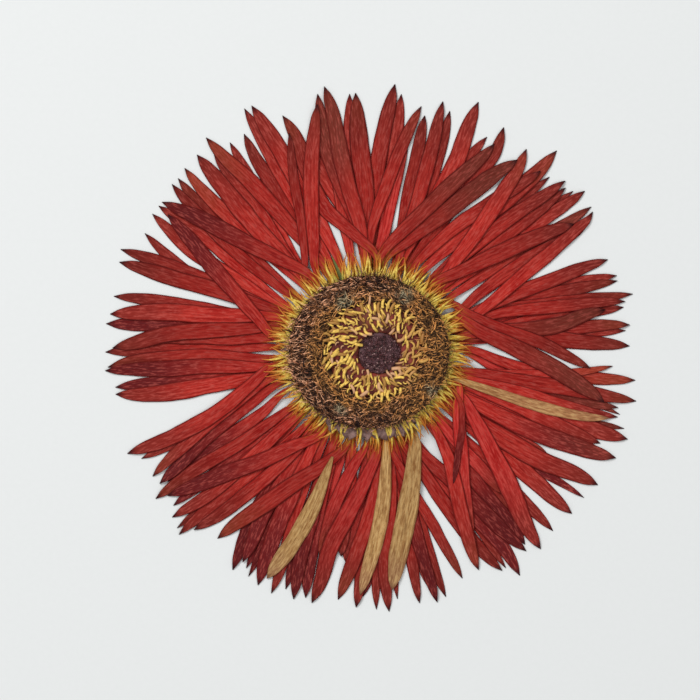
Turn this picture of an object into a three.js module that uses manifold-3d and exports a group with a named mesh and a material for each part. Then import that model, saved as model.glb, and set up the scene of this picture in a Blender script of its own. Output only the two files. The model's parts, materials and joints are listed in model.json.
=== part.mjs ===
// Pressed gerbera flower head, lying face up. Millimetres, +Z up.
// Azimuths are degrees counter-clockwise from +X, radii are from the middle of the disc.
import * as THREE from 'three';
import { mergeVertices } from 'three/addons/utils/BufferGeometryUtils.js';
import Module from 'manifold-3d';

// ---- driving dimensions ----
const BLADE = 0.09;            // thickness of a dried ray floret
const TIP_Z = 0.05;            // height of the lowest blade at the rim
const TIP_PITCH = 0.13;        // height between stacked blades at the rim
const CLAW_Z = 0.66;           // height of the lowest claw at the disc
const CLAW_PITCH = 0.19;       // height between stacked claws at the disc
const CLAW_R = 16;             // radius where the claws end
const RIM_R = 58;              // radius of the longest floret
const ARC = { inner: 15.2, outer: 16.7, thick: 0.13 };   // band that joins the claws of a lower fan
const SECTORS = 4;             // the lower florets are joined in this many groups of azimuth
const FANS = 6;                // lower fans in each group, one over the other
const CELL = 0.2;              // size of the plan cells used to stack the florets
const CLEAR = 0.16;            // plan distance under which two florets count as crossing

const STEM = { r: 2.3, z1: 0.5 };
const OUTER_BRACTS = { n: 17, inner: 2.6, valley: 12.4, tip: 16.4, z0: 0, z1: 0.26 };
const INNER_BRACTS = { n: 23, inner: 3.2, valley: 14.2, tip: 20.4, z0: 0.3, z1: 0.52 };
const RECEPTACLE = { r: 13.4, z0: 0.56 };
const FRINGE = { n: 48, inner: 14.4, valley: 16.9, tip: 19.4, thick: 0.16 };
const RING = { inner: 10.3, outer: 17.2, oval: 0.95, rise: 1.25 };
const ANTHERS = { x: 1.1, y: 0.5, inner: 4.5, outer: 10.1, rise: 1.5 };
const EYE = { x: 2.1, y: -0.2, r: 4.3, rise: 1.15 };

// share of the greatest width, from the tip to the claw
const OUTLINE = [
  [0, 0], [0.05, 0.5], [0.13, 0.82], [0.28, 0.99], [0.5, 0.97], [0.72, 0.74], [0.88, 0.46], [1, 0.34],
];

// name, level in the stack, greatest width, finish, then azimuth and radius from the tip to the claw
const FLORETS = [
  ['a01', 2, 3.3, 'red', [1.4, 55.6], [2.2, 50], [2.7, 45], [3.5, 40], [5, 35], [7, 30], [10, 18]],
  ['a02', 0, 2.2, 'red', [4.7, 54.9], [5, 48], [5.6, 36], [6, 18]],
  ['a03', 1, 3.0, 'red', [6, 55.9], [6.5, 48], [6.6, 43], [7.4, 32], [8, 18]],
  ['a04', 4, 3.2, 'dark', [10.1, 51.2], [9.3, 45], [8, 40], [7.7, 35], [9, 31], [10, 18]],
  ['a05', 2, 2.9, 'red', [9.9, 55.1], [10, 50], [10.7, 43], [11.3, 38], [10.6, 30], [9, 18]],
  ['a06', 3, 2.6, 'red', [11.3, 55.7], [12.5, 48], [14, 40], [15.8, 32], [17, 27], [18, 18]],
  ['a07', 0, 2.8, 'bright', [12.3, 50], [13, 35], [13.5, 18]],
  ['a08', 2, 2.4, 'red', [12.5, 57.6], [13.5, 50], [14.3, 45], [15.8, 38], [17.3, 32], [18.5, 28], [19.5, 18]],
  ['a09', 1, 2.6, 'red', [15.9, 55.1], [17, 46], [18, 38], [18.8, 18]],
  ['a10', 0, 2.6, 'red', [17.3, 55.3], [19.3, 38], [19.5, 18]],
  ['a11', 2, 3.0, 'red', [21.3, 54.6], [21.6, 45], [22, 40], [21.8, 33], [20, 18]],
  ['a12', 3, 3.0, 'red', [32.1, 56.3], [31.3, 55], [29.8, 48], [28, 42], [26, 35], [23.5, 30], [20, 25], [17, 21],
    [14, 18]],
  ['a13', 1, 3.0, 'red', [30.2, 53.8], [30, 45], [29.8, 36], [29, 30], [26, 23], [22, 18]],
  ['a14', 0, 2.6, 'dark', [33.2, 56.6], [33.5, 38], [34.5, 18]],
  ['a15', 4, 3.4, 'red', [32.2, 51.5], [33.7, 46], [35, 41.5], [37, 35], [39, 30], [42, 25], [44.5, 22], [49, 18]],
  ['a16', 1, 3.2, 'red', [36.8, 57.4], [37, 50], [37.7, 44], [38.4, 32], [39, 18]],
  ['a17', 0, 2.2, 'red', [38.3, 55.4], [38.6, 48], [40, 18]],
  ['a18', 1, 2.6, 'red', [39.9, 54.6], [39.8, 45], [39.8, 40], [41, 28], [42, 18]],
  ['a19', 2, 3.0, 'red', [41, 55.5], [42, 50], [43, 45], [44.2, 39], [45, 33], [46, 27], [48, 18]],
  ['b02', 0, 2.2, 'red', [44, 53.6], [44.8, 47], [46, 41], [47.5, 32], [49, 25], [51, 18]],
  ['b03', 2, 3.0, 'red', [46.7, 53.2], [47.8, 48], [51.5, 40], [54, 34], [57, 29], [60, 24], [64, 18]],
  ['b04', 1, 3.6, 'red', [46.9, 58.7], [47, 52], [47.5, 48], [49.5, 38], [51.5, 31], [54, 25], [58, 18]],
  ['b05', 3, 3.3, 'red', [52.1, 54.8], [50.8, 50], [50.2, 45], [49.3, 40], [48.5, 35], [47.5, 30], [46.5, 26],
    [43, 18]],
  ['b06', 4, 3.6, 'dark', [52.3, 51.8], [54, 48], [56, 44], [58, 39], [61, 34.5], [64, 31], [67, 28], [71, 25.5],
    [75, 23.5], [80, 20.5], [84, 17.5]],
  ['b07', 1, 3.3, 'red', [58.9, 55.9], [57.8, 50], [58.5, 45], [60, 36], [62, 28], [64, 22], [66, 18]],
  ['b08', 5, 3.3, 'dark', [58.9, 51.8], [60, 47.5], [62, 43], [64, 39], [67, 34.5], [70, 31], [73, 28], [77, 24.5],
    [80, 22.5], [88, 17]],
  ['b09', 0, 2.6, 'red', [61.3, 52.3], [62.3, 48], [63, 44], [64.5, 35], [66, 28], [69, 18]],
  ['b10', 1, 3.7, 'red', [66.4, 58.2], [66, 50], [65.5, 45], [66.5, 35], [68.5, 27], [72, 18]],
  ['b11', 0, 2.8, 'red', [71.4, 54.2], [70.7, 48], [70.5, 42], [70, 37], [70, 18]],
  ['b12', 1, 3.0, 'red', [73.7, 55.7], [73.3, 50], [72.8, 45], [72.5, 40], [72.3, 35], [72, 18]],
  ['b13', 0, 2.8, 'red', [76.8, 51.8], [76.5, 45], [76.3, 40], [76, 35], [75.2, 30], [74, 18]],
  ['b14', 2, 2.7, 'red', [78.1, 53.6], [79.8, 48], [81.3, 43], [83, 38], [85, 33], [87, 29], [89, 25], [91, 18]],
  ['b15', 0, 3.0, 'bright', [80.3, 47], [81.3, 38], [82.4, 30], [83.3, 25], [84.6, 22], [87, 18]],
  ['c01', 0, 3.0, 'red', [83, 55.4], [82.6, 50], [83, 46], [85, 30], [86, 18]],
  ['c02', 1, 3.3, 'red', [84.6, 57.4], [85.7, 50], [86.4, 45], [87.3, 40], [88, 35], [88.8, 30], [90, 18]],
  ['c03', 3, 3.7, 'red', [93.1, 55.3], [93, 50], [92.8, 45], [92.3, 40], [91.7, 35], [91, 30], [90, 18]],
  ['c04', 0, 2.8, 'red', [94.4, 55.2], [95, 48], [95.3, 42], [95.3, 36], [95, 30], [93.5, 18]],
  ['c05', 2, 3.4, 'dark', [99.6, 57.4], [98.7, 52], [98.3, 46], [97.8, 40], [97, 34], [95.5, 29], [94, 26], [92, 18]],
  ['c06', 1, 3.0, 'dark', [101.2, 56.1], [102, 47], [101, 40], [99, 34], [97, 30], [95, 26], [91, 18]],
  ['c6b', 0, 3.3, 'red', [105.6, 46.5], [105.5, 43], [105, 39.8], [102.2, 35.4], [97.7, 29.4], [94.4, 26.5],
    [92, 22], [91, 18]],
  ['c6c', 0, 2.6, 'red', [100.5, 42], [100.5, 36], [101, 28], [101, 23], [100.6, 18]],
  ['c07', 5, 3.1, 'red', [101.9, 54], [104, 48], [106.5, 43], [109, 38], [111.5, 33], [114, 29], [117, 26],
    [120, 23], [126, 18.5]],
  ['c08', 4, 3.2, 'red', [110, 53.7], [109, 50], [108.5, 45], [109, 41], [109, 37.5], [108.2, 34], [105.3, 30.5],
    [101.7, 27.8], [97.7, 25.3], [93.3, 23], [88.1, 20.8], [79.5, 18.3]],
  ['c09', 4, 2.0, 'red', [110.1, 49.7], [112, 44], [114, 38.5], [116, 34], [118, 30], [123, 25.5], [128.5, 22],
    [136, 18.3]],
  ['c10', 2, 3.6, 'red', [115.4, 58.2], [114.2, 50], [113.5, 45], [112.5, 38], [111, 30], [107, 18]],
  ['c11', 1, 3.0, 'red', [117.2, 58.3], [116.5, 50], [116.2, 45], [116, 38], [115, 28], [113, 18]],
  ['c12', 0, 2.9, 'red', [119.9, 53.6], [120.3, 47], [120.1, 38], [119.8, 32], [118, 18]],
  ['d15', 0, 2.6, 'red', [123.6, 53.6], [124.2, 47], [125.2, 40], [126.2, 34], [127.8, 27], [130, 18]],
  ['d14', 3, 3.3, 'rust', [127.3, 57.4], [126.5, 52], [125.3, 47], [124.3, 42], [123.5, 37], [122.3, 32],
    [120.8, 27.5], [119.5, 24], [116, 18]],
  ['d13', 1, 3.0, 'red', [128.1, 53.9], [128, 47], [128, 42], [128.2, 37], [128.8, 32], [130, 27], [131, 18]],
  ['d12', 2, 3.8, 'red', [131.2, 55.8], [131.5, 50], [131.9, 45], [132.1, 40], [132, 35], [131.8, 30], [131.5, 18]],
  ['d11', 1, 3.0, 'rust', [135, 55.5], [135.7, 50], [136, 45], [136, 40], [135.8, 36.5], [134.5, 18]],
  ['d10', 0, 2.8, 'red', [137.6, 55], [138.8, 50], [139.3, 47], [140.5, 36], [142, 18]],
  ['d09', 0, 2.8, 'red', [139.6, 55.2], [141.2, 47], [142.6, 38], [143.6, 31], [145, 18]],
  ['d08', 4, 3.4, 'dark', [144.1, 54.5], [143, 50], [142, 46], [140.8, 42], [139.5, 38], [137.5, 33.5], [135, 29],
    [132, 25], [129, 22], [124.5, 17.4]],
  ['d06', 1, 3.0, 'red', [145.2, 54.6], [144.9, 47], [145, 40], [146.5, 33], [148.5, 27], [151, 18]],
  ['d05', 5, 3.4, 'dark', [145.8, 52], [147.5, 46], [149.5, 41], [152, 36.5], [155, 32.5], [158, 29], [161.5, 26],
    [165, 23.5], [169, 21], [176, 18.2]],
  ['d04', 1, 2.9, 'red', [147.5, 54.8], [148.5, 50], [150, 45], [150.8, 38], [153.5, 18]],
  ['d03', 0, 2.5, 'red', [152.2, 54.1], [153.5, 50], [155, 46], [157, 38], [160, 18]],
  ['d02', 1, 3.0, 'red', [157.4, 57.3], [157, 50], [156.2, 36], [155, 18]],
  ['d01', 2, 3.3, 'red', [160.1, 56.6], [159.8, 50], [159.3, 45], [158.5, 40], [157.8, 35], [155, 18]],
  ['e08', 0, 2.7, 'red', [167.6, 55.7], [167, 50], [166.3, 45], [165.8, 41], [162, 18]],
  ['e07', 3, 3.6, 'red', [171.7, 55.8], [170.5, 50], [169.2, 45], [168, 40], [166.7, 35], [165, 30], [163, 26],
    [158, 18.5]],
  ['e06', 1, 3.3, 'dark', [173.7, 56.4], [173.3, 50], [172.5, 45], [170.5, 34], [168.5, 26], [166.5, 18.5]],
  ['e05', 4, 3.4, 'red', [179, 54.7], [177.8, 50], [176, 45.5], [174, 41.5], [172.8, 37], [171.7, 33], [170.3, 29],
    [168.5, 25], [164, 18.5]],
  ['e5b', 2, 3.0, 'red', [177, 46], [175.5, 40], [174.5, 30], [173, 25], [171.5, 18.5]],
  ['e04', 1, 3.0, 'red', [180, 56.2], [179.8, 50], [179.3, 43], [179.2, 33], [178.3, 27], [177, 18.5]],
  ['e3b', 0, 2.8, 'red', [183.2, 55.8], [182, 48], [181.2, 40], [181.3, 33], [182.5, 27], [184, 18.5]],
  ['e03', 2, 3.3, 'dark', [184.1, 56.4], [184.3, 50], [184.5, 45], [184.7, 40], [185.2, 35], [186, 30], [187, 26],
    [189, 18.5]],
  ['e02', 0, 2.8, 'dark', [187.9, 54.6], [188, 48], [188.3, 42], [188.8, 36], [189.5, 30], [190.8, 25], [192, 18.5]],
  ['e01', 2, 3.5, 'red', [189.6, 54.8], [190.5, 50], [191.3, 45], [191.8, 40], [192, 35], [192.3, 30], [194, 18.5]],
  ['f01', 4, 3.3, 'red', [202.8, 55.9], [203.2, 50], [203.3, 45], [203, 41], [202.2, 37], [200.8, 33],
    [198.5, 29.5], [194, 25], [184, 18.3]],
  ['f02', 0, 2.4, 'red', [205, 53.6], [205, 48], [204.2, 40], [200, 29], [190, 18]],
  ['f03', 3, 2.8, 'red', [209.9, 53.2], [208.2, 48], [206.5, 43], [204.5, 38], [203, 35], [200.5, 30], [198, 26],
    [193, 18.5]],
  ['f04', 2, 3.0, 'dark', [212.3, 52.7], [211, 48], [209.5, 43.5], [208, 40], [206, 35], [204.8, 30.5], [202.8, 25.5],
    [200.5, 21.5], [198, 18.5]],
  ['f4b', 1, 2.8, 'dark', [212.9, 51], [211.8, 46], [211, 41], [210.8, 36], [210.5, 31], [209.2, 26],
    [206, 21], [203.8, 18.5]],
  ['f05', 1, 2.9, 'red', [214.6, 55.2], [214.3, 50], [214.3, 45], [214.5, 40], [215, 35], [215.3, 30], [215.3, 26],
    [215.6, 18.5]],
  ['f06', 5, 3.4, 'dark', [215.6, 52.8], [216.8, 48.5], [218.5, 44.5], [220.5, 40], [222.7, 36], [225.5, 32],
    [229, 28], [233, 24], [238, 21], [243, 18.5]],
  ['f07', 0, 2.6, 'dark', [218, 53], [219, 36], [219.5, 18]],
  ['f08', 2, 3.0, 'red', [220, 54.8], [221.3, 48], [221.8, 40], [221.8, 30], [222, 18]],
  ['f09', 0, 2.2, 'red', [222.5, 55.5], [223, 50], [223.6, 36], [224, 18]],
  ['f10', 1, 2.8, 'red', [223.8, 56.2], [224.2, 50], [224.6, 45], [225.3, 40], [226, 35], [228, 26], [230, 18.5]],
  ['f11', 2, 3.0, 'red', [225.3, 53.2], [227, 48.5], [228.3, 44], [229.7, 39], [231, 34], [232, 30], [236, 18.5]],
  ['f12', 4, 3.4, 'rust', [230.8, 51.2], [231.8, 48], [233.3, 44], [235.3, 39.5], [238, 35], [241, 31.5],
    [244, 29], [247, 26.5], [250, 24.3], [253, 22], [259, 18.5]],
  ['f13', 0, 3.0, 'dark', [238.1, 54.8], [237, 50], [235.8, 46], [233.5, 34], [230, 18]],
  ['f14', 1, 3.0, 'dark', [239.1, 52.3], [237.8, 46], [237, 41], [235.4, 30], [233, 18]],
  ['f15', 0, 2.2, 'dark', [240.3, 53], [239.9, 48], [239.3, 43], [238, 18]],
  ['g20', 0, 2.0, 'dark', [241.8, 54.3], [241.6, 50], [241, 45], [240, 18]],
  ['g19', 2, 3.4, 'dark', [244.4, 55.1], [243.6, 50], [242.7, 45], [242.3, 41], [241.5, 36], [240.5, 31],
    [238.5, 18.5]],
  ['g18', 1, 2.6, 'red', [248, 55.5], [248, 51], [247.4, 46], [246.3, 41], [245.3, 37], [244.5, 33], [243.8, 28],
    [242.8, 18.5]],
  ['g17', 0, 2.6, 'dark', [250.7, 53.6], [250.3, 49], [249.8, 45], [249.4, 40], [249, 34], [247, 18.5]],
  ['g16', 2, 3.2, 'dark', [253.1, 55.1], [252.3, 50], [251.6, 46], [251, 42], [250.3, 36], [249.7, 30],
    [248.8, 18.5]],
  ['g15', 1, 3.0, 'dark', [255.7, 54.1], [255, 50], [254.2, 46], [253.4, 42], [252.7, 38], [252, 33], [251.2, 27],
    [250, 18.5]],
  ['g23', 0, 3.0, 'bright', [262.3, 44], [262, 38], [262, 30], [261.2, 25], [260, 18.5]],
  ['g22', 0, 2.4, 'bright', [254.8, 44], [254.6, 38], [254.4, 33], [254.7, 28], [255, 23.5], [256, 18.5]],
  ['g14', 2, 2.8, 'bright', [256.5, 45], [256.8, 40], [257, 36], [257.8, 32], [259.5, 28], [262, 24.5],
    [265.5, 21.5], [269, 18.5]],
  ['g12', 3, 3.6, 'bright', [257.3, 54.9], [258, 50], [258.3, 45], [259.3, 41], [261, 37], [263.5, 33], [266.5, 29],
    [270, 25], [277, 18.8]],
  ['g11', 0, 2.8, 'bright', [263.8, 45.5], [263.8, 41], [264.5, 37.5], [266, 33], [267.5, 28], [270, 18.8]],
  ['g09', 2, 3.2, 'red', [262.8, 53.2], [264.2, 48.5], [265.8, 44], [267.5, 40], [269.5, 36], [271.5, 32],
    [273.5, 28], [277.5, 19]],
  ['g07', 1, 3.2, 'red', [267.1, 54.5], [267.8, 50], [268.8, 45], [270.2, 40], [271.5, 35], [272.2, 30], [271.8, 25],
    [270.5, 18.5]],
  ['g06', 0, 2.8, 'dark', [268.7, 52.2], [270.2, 48], [271.5, 44], [273, 40], [275, 35], [279.5, 18.8]],
  ['g05', 1, 2.2, 'red', [271.5, 54.9], [271.8, 50], [272.5, 45], [273.5, 40], [276.5, 18.8]],
  ['g04', 2, 3.0, 'red', [274.3, 55.5], [274, 50], [274.5, 45], [275.5, 40], [277, 35], [278.8, 30], [280.8, 25],
    [283, 18.8]],
  ['g03', 0, 1.6, 'red', [276.5, 53], [276.6, 49], [279, 35], [281, 18.5]],
  ['g02', 1, 2.6, 'red', [281.3, 54.6], [281.5, 50], [281.7, 45], [282, 40], [282.6, 34], [283.3, 28], [284.5, 18.8]],
  ['h01', 2, 2.8, 'dark', [285.2, 55.3], [285, 50], [284.7, 45], [284.6, 40], [284.7, 33], [285, 27], [286, 18.8]],
  ['h1b', 0, 2.4, 'dark', [283.9, 51.5], [284, 46], [284.4, 40], [287, 18.5]],
  ['h02', 1, 2.4, 'red', [287.5, 54.7], [287, 50], [286.7, 45], [286.6, 40], [287, 34], [289, 18.8]],
  ['h03', 3, 2.2, 'red', [292.4, 52.2], [292, 48], [291, 43], [289.9, 38.5], [288.6, 34], [287.2, 30], [281.5, 18.8]],
  ['h06', 5, 3.0, 'red', [296.7, 52], [297.2, 48], [298.6, 43], [300.3, 38.5], [302.4, 34.5], [305, 30.5],
    [308, 26.5], [312.5, 19]],
  ['i06', 2, 3.0, 'red', [301.2, 54.6], [299.9, 50], [298.8, 46], [297.8, 42], [297, 38], [296.2, 34], [295, 30],
    [293.5, 26.5], [289.5, 19.3]],
  ['i6b', 0, 1.8, 'bright', [301, 45], [300, 38], [299.3, 34], [298, 29.5], [296, 25.5], [291.5, 19.3]],
  ['i05', 0, 2.0, 'red', [302.4, 54.5], [302.3, 49], [302.1, 44], [300.8, 33], [298, 18.5]],
  ['i04', 1, 3.3, 'dark', [304.1, 57.5], [304.6, 52], [304, 47], [303, 42], [301.7, 37], [299.8, 32], [297.5, 27],
    [292.5, 19.3]],
  ['i03', 2, 3.3, 'dark', [308.2, 54.1], [307.2, 50], [306.3, 45.5], [305.3, 40.3], [303.6, 35], [301.2, 30],
    [298.5, 25.5], [294.5, 19.3]],
  ['i02', 1, 3.0, 'dark', [308.95, 52.8], [309.6, 48], [309.6, 43], [309.5, 38], [309.7, 33], [310, 28], [310, 18.5]],
  ['i08', 0, 2.2, 'bright', [312.2, 46], [311.9, 40], [311.8, 34], [311.8, 30], [312, 18.5]],
  ['i09', 1, 2.6, 'bright', [313.6, 42], [313.8, 36], [314.1, 31], [314.5, 26], [315.5, 18.5]],
  ['i01', 0, 2.8, 'red', [315.9, 54.7], [316.1, 50], [316.3, 45], [316.5, 40], [317, 34], [318.5, 18.5]],
  ['m01', 4, 3.9, 'bright', [311, 55.7], [312.1, 50.5], [313.9, 45.5], [316.2, 41], [318.8, 37], [321.8, 33],
    [325.3, 29], [329, 25.5], [333, 22.3], [338, 18.6]],
  ['n01', 4, 2.8, 'bright', [298.8, 46], [300.6, 41.5], [303, 37.5], [306, 34], [309.5, 31], [313.5, 28.5],
    [318, 26], [323, 23.8], [329, 22], [338, 20.3], [346, 18.6]],
  ['k01', 6, 1.3, 'dark', [302.6, 33.2], [308, 30.4], [315, 27.3], [322, 25.2], [328, 23.6], [335.5, 19.3]],
  ['j11', 2, 3.5, 'red', [321.5, 55.3], [321.7, 50], [322, 45], [322.5, 40], [323, 35], [323.5, 30], [324.5, 18.5]],
  ['j10', 0, 1.8, 'dark', [326, 55.3], [325.6, 50], [325.2, 45], [325, 40], [325.5, 18.5]],
  ['j09', 3, 4.0, 'red', [330, 56.4], [329.3, 51], [328.5, 47], [327.9, 43], [327.5, 39], [327.2, 35], [327, 31],
    [327, 26], [327, 18.5]],
  ['j9b', 1, 2.4, 'bright', [330, 44], [329.6, 38], [328.8, 31], [328.5, 27], [329, 18.5]],
  ['j08', 0, 2.2, 'bright', [331.8, 40], [331.6, 35], [331.3, 31], [331, 26.5], [331.5, 18.5]],
  ['j07', 3, 3.8, 'dark', [336.7, 57.3], [335.8, 52], [335.1, 47], [334.7, 42], [334.3, 37], [334.2, 32],
    [334.4, 27], [335.3, 18.5]],
  ['j7a', 2, 3.2, 'red', [338.4, 53], [338.7, 48], [339, 43.5], [339.3, 39.5], [339.8, 35.5], [340.4, 31],
    [342, 18.8]],
  ['j7b', 1, 3.2, 'bright', [337.8, 47], [338, 40], [338.3, 34], [338, 29], [337.6, 25], [337, 18.5]],
  ['j06', 1, 3.8, 'red', [341.25, 58.2], [340.8, 54], [340.7, 50], [341, 45], [341.6, 38], [342.3, 31], [343.5, 18.5]],
  ['j05', 0, 2.0, 'dark', [343.2, 56.8], [342.7, 53], [341.8, 49], [340.9, 45], [339, 38], [336.5, 31], [333, 24],
    [329, 18.8]],
  ['j4c', 0, 1.6, 'dark', [346.1, 55.1], [346.7, 51], [347.3, 47], [347.6, 32], [348.6, 18.5]],
  ['j4a', 1, 2.4, 'dark', [347.3, 54.4], [347.1, 50], [346.9, 46], [346.6, 41], [346.2, 36], [345.9, 30],
    [346, 18.5]],
  ['j4b', 2, 2.6, 'red', [345.4, 54.8], [344.9, 50], [344.8, 46], [344.9, 41], [345, 36], [345.1, 30], [345, 18.5]],
  ['j03', 2, 3.1, 'red', [349.55, 57.9], [349.4, 53], [349.4, 48], [349.5, 42], [349.5, 36], [349.3, 30],
    [348.9, 24.5], [348.2, 18.8]],
  ['j02', 1, 2.8, 'rust', [353.95, 57.1], [353.7, 52], [353.3, 46], [353, 40], [353.4, 35], [354.8, 30.5],
    [357.2, 26.5], [360.5, 22.5], [363.5, 18.8]],
  ['j15', 0, 2.4, 'bright', [351.8, 40], [352, 34], [353, 29], [355.3, 25.5], [358.5, 22.3], [362, 18.6]],
  ['j01', 3, 1.8, 'rust', [356.65, 52], [355.6, 48.5], [354.6, 45], [353.8, 42], [352.8, 38], [351, 28],
    [349.5, 18.5]],
  ['m11', 5, 2.6, 'red', [355.8, 47.3], [358.2, 43.3], [361.5, 38.8], [364.5, 35], [367.5, 31.5], [370.5, 28.3],
    [374.5, 25.5], [380, 23], [388, 20.8], [400, 17.8]],
  ['m12', 6, 3.7, 'dark', [347.9, 51.2], [350, 47.5], [352.3, 43.5], [354.8, 40], [357.5, 36.5], [360.3, 32.8],
    [363.5, 29.5], [367, 26.5], [371, 23.8], [376, 21.3], [384, 19], [392, 17.2]],
  ['t01', 5, 3.5, 'tan', [245.8, 53], [246.9, 48.5], [248.2, 43], [249.2, 38], [250.1, 33], [250.5, 28], [250.8, 23.6]],
  ['t02', 5, 3.0, 'tan', [267.9, 51.8], [268.4, 50], [270.1, 45], [272.3, 40], [274.3, 35], [276, 30], [278.2, 25],
    [280.8, 19]],
  ['t03', 5, 4.1, 'tan', [275.6, 51], [276.8, 47], [278.8, 42.5], [281.3, 38], [284.2, 34], [287.6, 30], [291, 26.5],
    [295.5, 22.5], [300, 18.8]],
  ['t04', 5, 2.2, 'tan', [344.7, 53.2], [343.9, 49.5], [343, 45], [342.3, 40], [342, 35], [342, 30], [342.3, 25.5],
    [342.7, 20.5]],
];

const SINGLE_LEVEL = 4;        // florets from this level up stay single pieces
const TORN = ['t01'];          // its claw has broken away, so it stops short of the disc

const COLOURS = {
  red: 0x94282c, bright: 0xa92b30, dark: 0x64202a, rust: 0x9a3a24, tan: 0xb9905a,
};

const rad = (deg) => (deg * Math.PI) / 180;
const polar = (az, r) => new THREE.Vector2(r * Math.cos(rad(az)), r * Math.sin(rad(az)));

// height of the underside of layer k at radius r: a shallow cone, so that layers never meet
function layerZ(k, r) {
  const inner = CLAW_Z + k * CLAW_PITCH;
  const outer = TIP_Z + k * TIP_PITCH;
  return inner + ((outer - inner) * (r - CLAW_R)) / (RIM_R - CLAW_R);
}

// left and right edge points of a floret, tip first
function edges(floret) {
  const [name, , width, , ...line] = floret;
  const points = line.map(([az, r]) => polar(az, r));
  if (!TORN.includes(name)) {
    points.push(polar(line[line.length - 1][0], CLAW_R - 0.1));
  }
  const spine = new THREE.SplineCurve(points);
  spine.arcLengthDivisions = 400;
  const left = [];
  const right = [];
  for (const [at, share] of OUTLINE) {
    const p = spine.getPointAt(at);
    const t = spine.getTangentAt(at);
    const half = (width * share) / 2;
    left.push(new THREE.Vector2(p.x - t.y * half, p.y + t.x * half));
    right.push(new THREE.Vector2(p.x + t.y * half, p.y - t.x * half));
  }
  return { left, right };
}

// closed ring of plan points round a floret: the tip, down the right edge, and back up the left
function ringOf({ left, right }) {
  return [left[0], ...right.slice(1), ...left.slice(1).reverse()];
}

// plan cells that a ring covers, with a margin
function cellsOf(ring) {
  const cells = new Set();
  const box = new THREE.Box2().setFromPoints(ring).expandByScalar(CLEAR);
  const segment = new THREE.Line3();
  const q = new THREE.Vector3();
  const near = new THREE.Vector3();
  for (let i = Math.floor(box.min.x / CELL); i <= box.max.x / CELL; i += 1) {
    for (let j = Math.floor(box.min.y / CELL); j <= box.max.y / CELL; j += 1) {
      q.set((i + 0.5) * CELL, (j + 0.5) * CELL, 0);
      let inside = false;
      let close = Infinity;
      for (let a = 0, b = ring.length - 1; a < ring.length; b = a, a += 1) {
        const p = ring[a];
        const s = ring[b];
        if (p.y > q.y !== s.y > q.y && q.x < ((s.x - p.x) * (q.y - p.y)) / (s.y - p.y) + p.x) {
          inside = !inside;
        }
        segment.start.set(p.x, p.y, 0);
        segment.end.set(s.x, s.y, 0);
        segment.closestPointToPoint(q, true, near);
        close = Math.min(close, near.distanceTo(q));
      }
      if (inside || close < CLEAR) {
        cells.add(i * 4096 + j);
      }
    }
  }
  return cells;
}

const meets = (a, b) => [...a].some((cell) => b.has(cell));

// closed plate between two heights that depend on the radius
function plate(ring, triangles, under, over) {
  const n = ring.length;
  const position = [];
  for (const height of [under, over]) {
    for (const p of ring) {
      position.push(p.x, p.y, height(p.length()));
    }
  }
  const index = [];
  for (const [a, b, c] of triangles) {
    index.push(a + n, b + n, c + n, c, b, a);
  }
  for (let a = 0; a < n; a += 1) {
    const b = (a + 1) % n;
    index.push(a, b, b + n, a, b + n, a + n);
  }
  const geometry = new THREE.BufferGeometry();
  geometry.setAttribute('position', new THREE.Float32BufferAttribute(position, 3));
  geometry.setIndex(index);
  return geometry;
}

// triangles of a floret's ring, station by station, counter-clockwise from above
function bladeTriangles() {
  const last = OUTLINE.length - 1;
  const left = (s) => (s === 0 ? 0 : 2 * last + 1 - s);
  const triangles = [[0, 1, left(1)]];
  for (let s = 1; s < last; s += 1) {
    triangles.push([s, s + 1, left(s + 1)], [s, left(s + 1), left(s)]);
  }
  return triangles;
}

function bladeGeometry(blade, layer) {
  const ring = ringOf(blade);
  const under = (r) => layerZ(layer, r);
  const over = (r) => layerZ(layer, r) + BLADE;
  return plate(ring, bladeTriangles(), under, over);
}

// flat star-edged ring: bracts and florets standing out from a common band
function starRing({ n, inner, valley, tip, z0, z1 }, turn, uneven) {
  const shape = new THREE.Shape();
  for (let i = 0; i < n; i += 1) {
    const az = turn + (i * 360) / n;
    const reach = tip * (1 + uneven * Math.sin(i * 2.4));
    const outline = [
      polar(az - 180 / n, valley), polar(az - 70 / n, (valley + reach) / 2 + 0.2), polar(az, reach),
      polar(az + 70 / n, (valley + reach) / 2 + 0.2),
    ];
    outline.forEach((p, j) => (i + j === 0 ? shape.moveTo(p.x, p.y) : shape.lineTo(p.x, p.y)));
  }
  const hole = new THREE.Path();
  for (let i = 0; i < n; i += 1) {
    const p = polar(turn - (i * 360) / n, inner);
    if (i === 0) {
      hole.moveTo(p.x, p.y);
    } else {
      hole.lineTo(p.x, p.y);
    }
  }
  shape.closePath();
  hole.closePath();
  shape.holes.push(hole);
  const geometry = new THREE.ExtrudeGeometry(shape, { depth: z1 - z0, bevelEnabled: false });
  geometry.translate(0, 0, z0);
  return geometry;
}

// solid of revolution about +Z from a profile of radius and height, bottom to top; its middle slides from one
// centre at the inner radius to another at the outer one, as the crowns of the disc are not concentric
function lathe(profile, around, hub = [0, 0], rim = hub, oval = 1) {
  const geometry = new THREE.LatheGeometry(profile.map(([r, z]) => new THREE.Vector2(r, z)), around);
  geometry.rotateX(Math.PI / 2);
  const radii = profile.map(([r]) => r);
  const low = Math.min(...radii);
  const span = Math.max(...radii) - low;
  const position = geometry.getAttribute('position');
  for (let i = 0; i < position.count; i += 1) {
    const x = position.getX(i);
    const y = position.getY(i);
    const t = (Math.hypot(x, y) - low) / span;
    const flat = 1 + (oval - 1) * t;
    position.setX(i, x + hub[0] + (rim[0] - hub[0]) * t);
    position.setY(i, y * flat + hub[1] + (rim[1] - hub[1]) * t);
  }
  return geometry;
}

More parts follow.
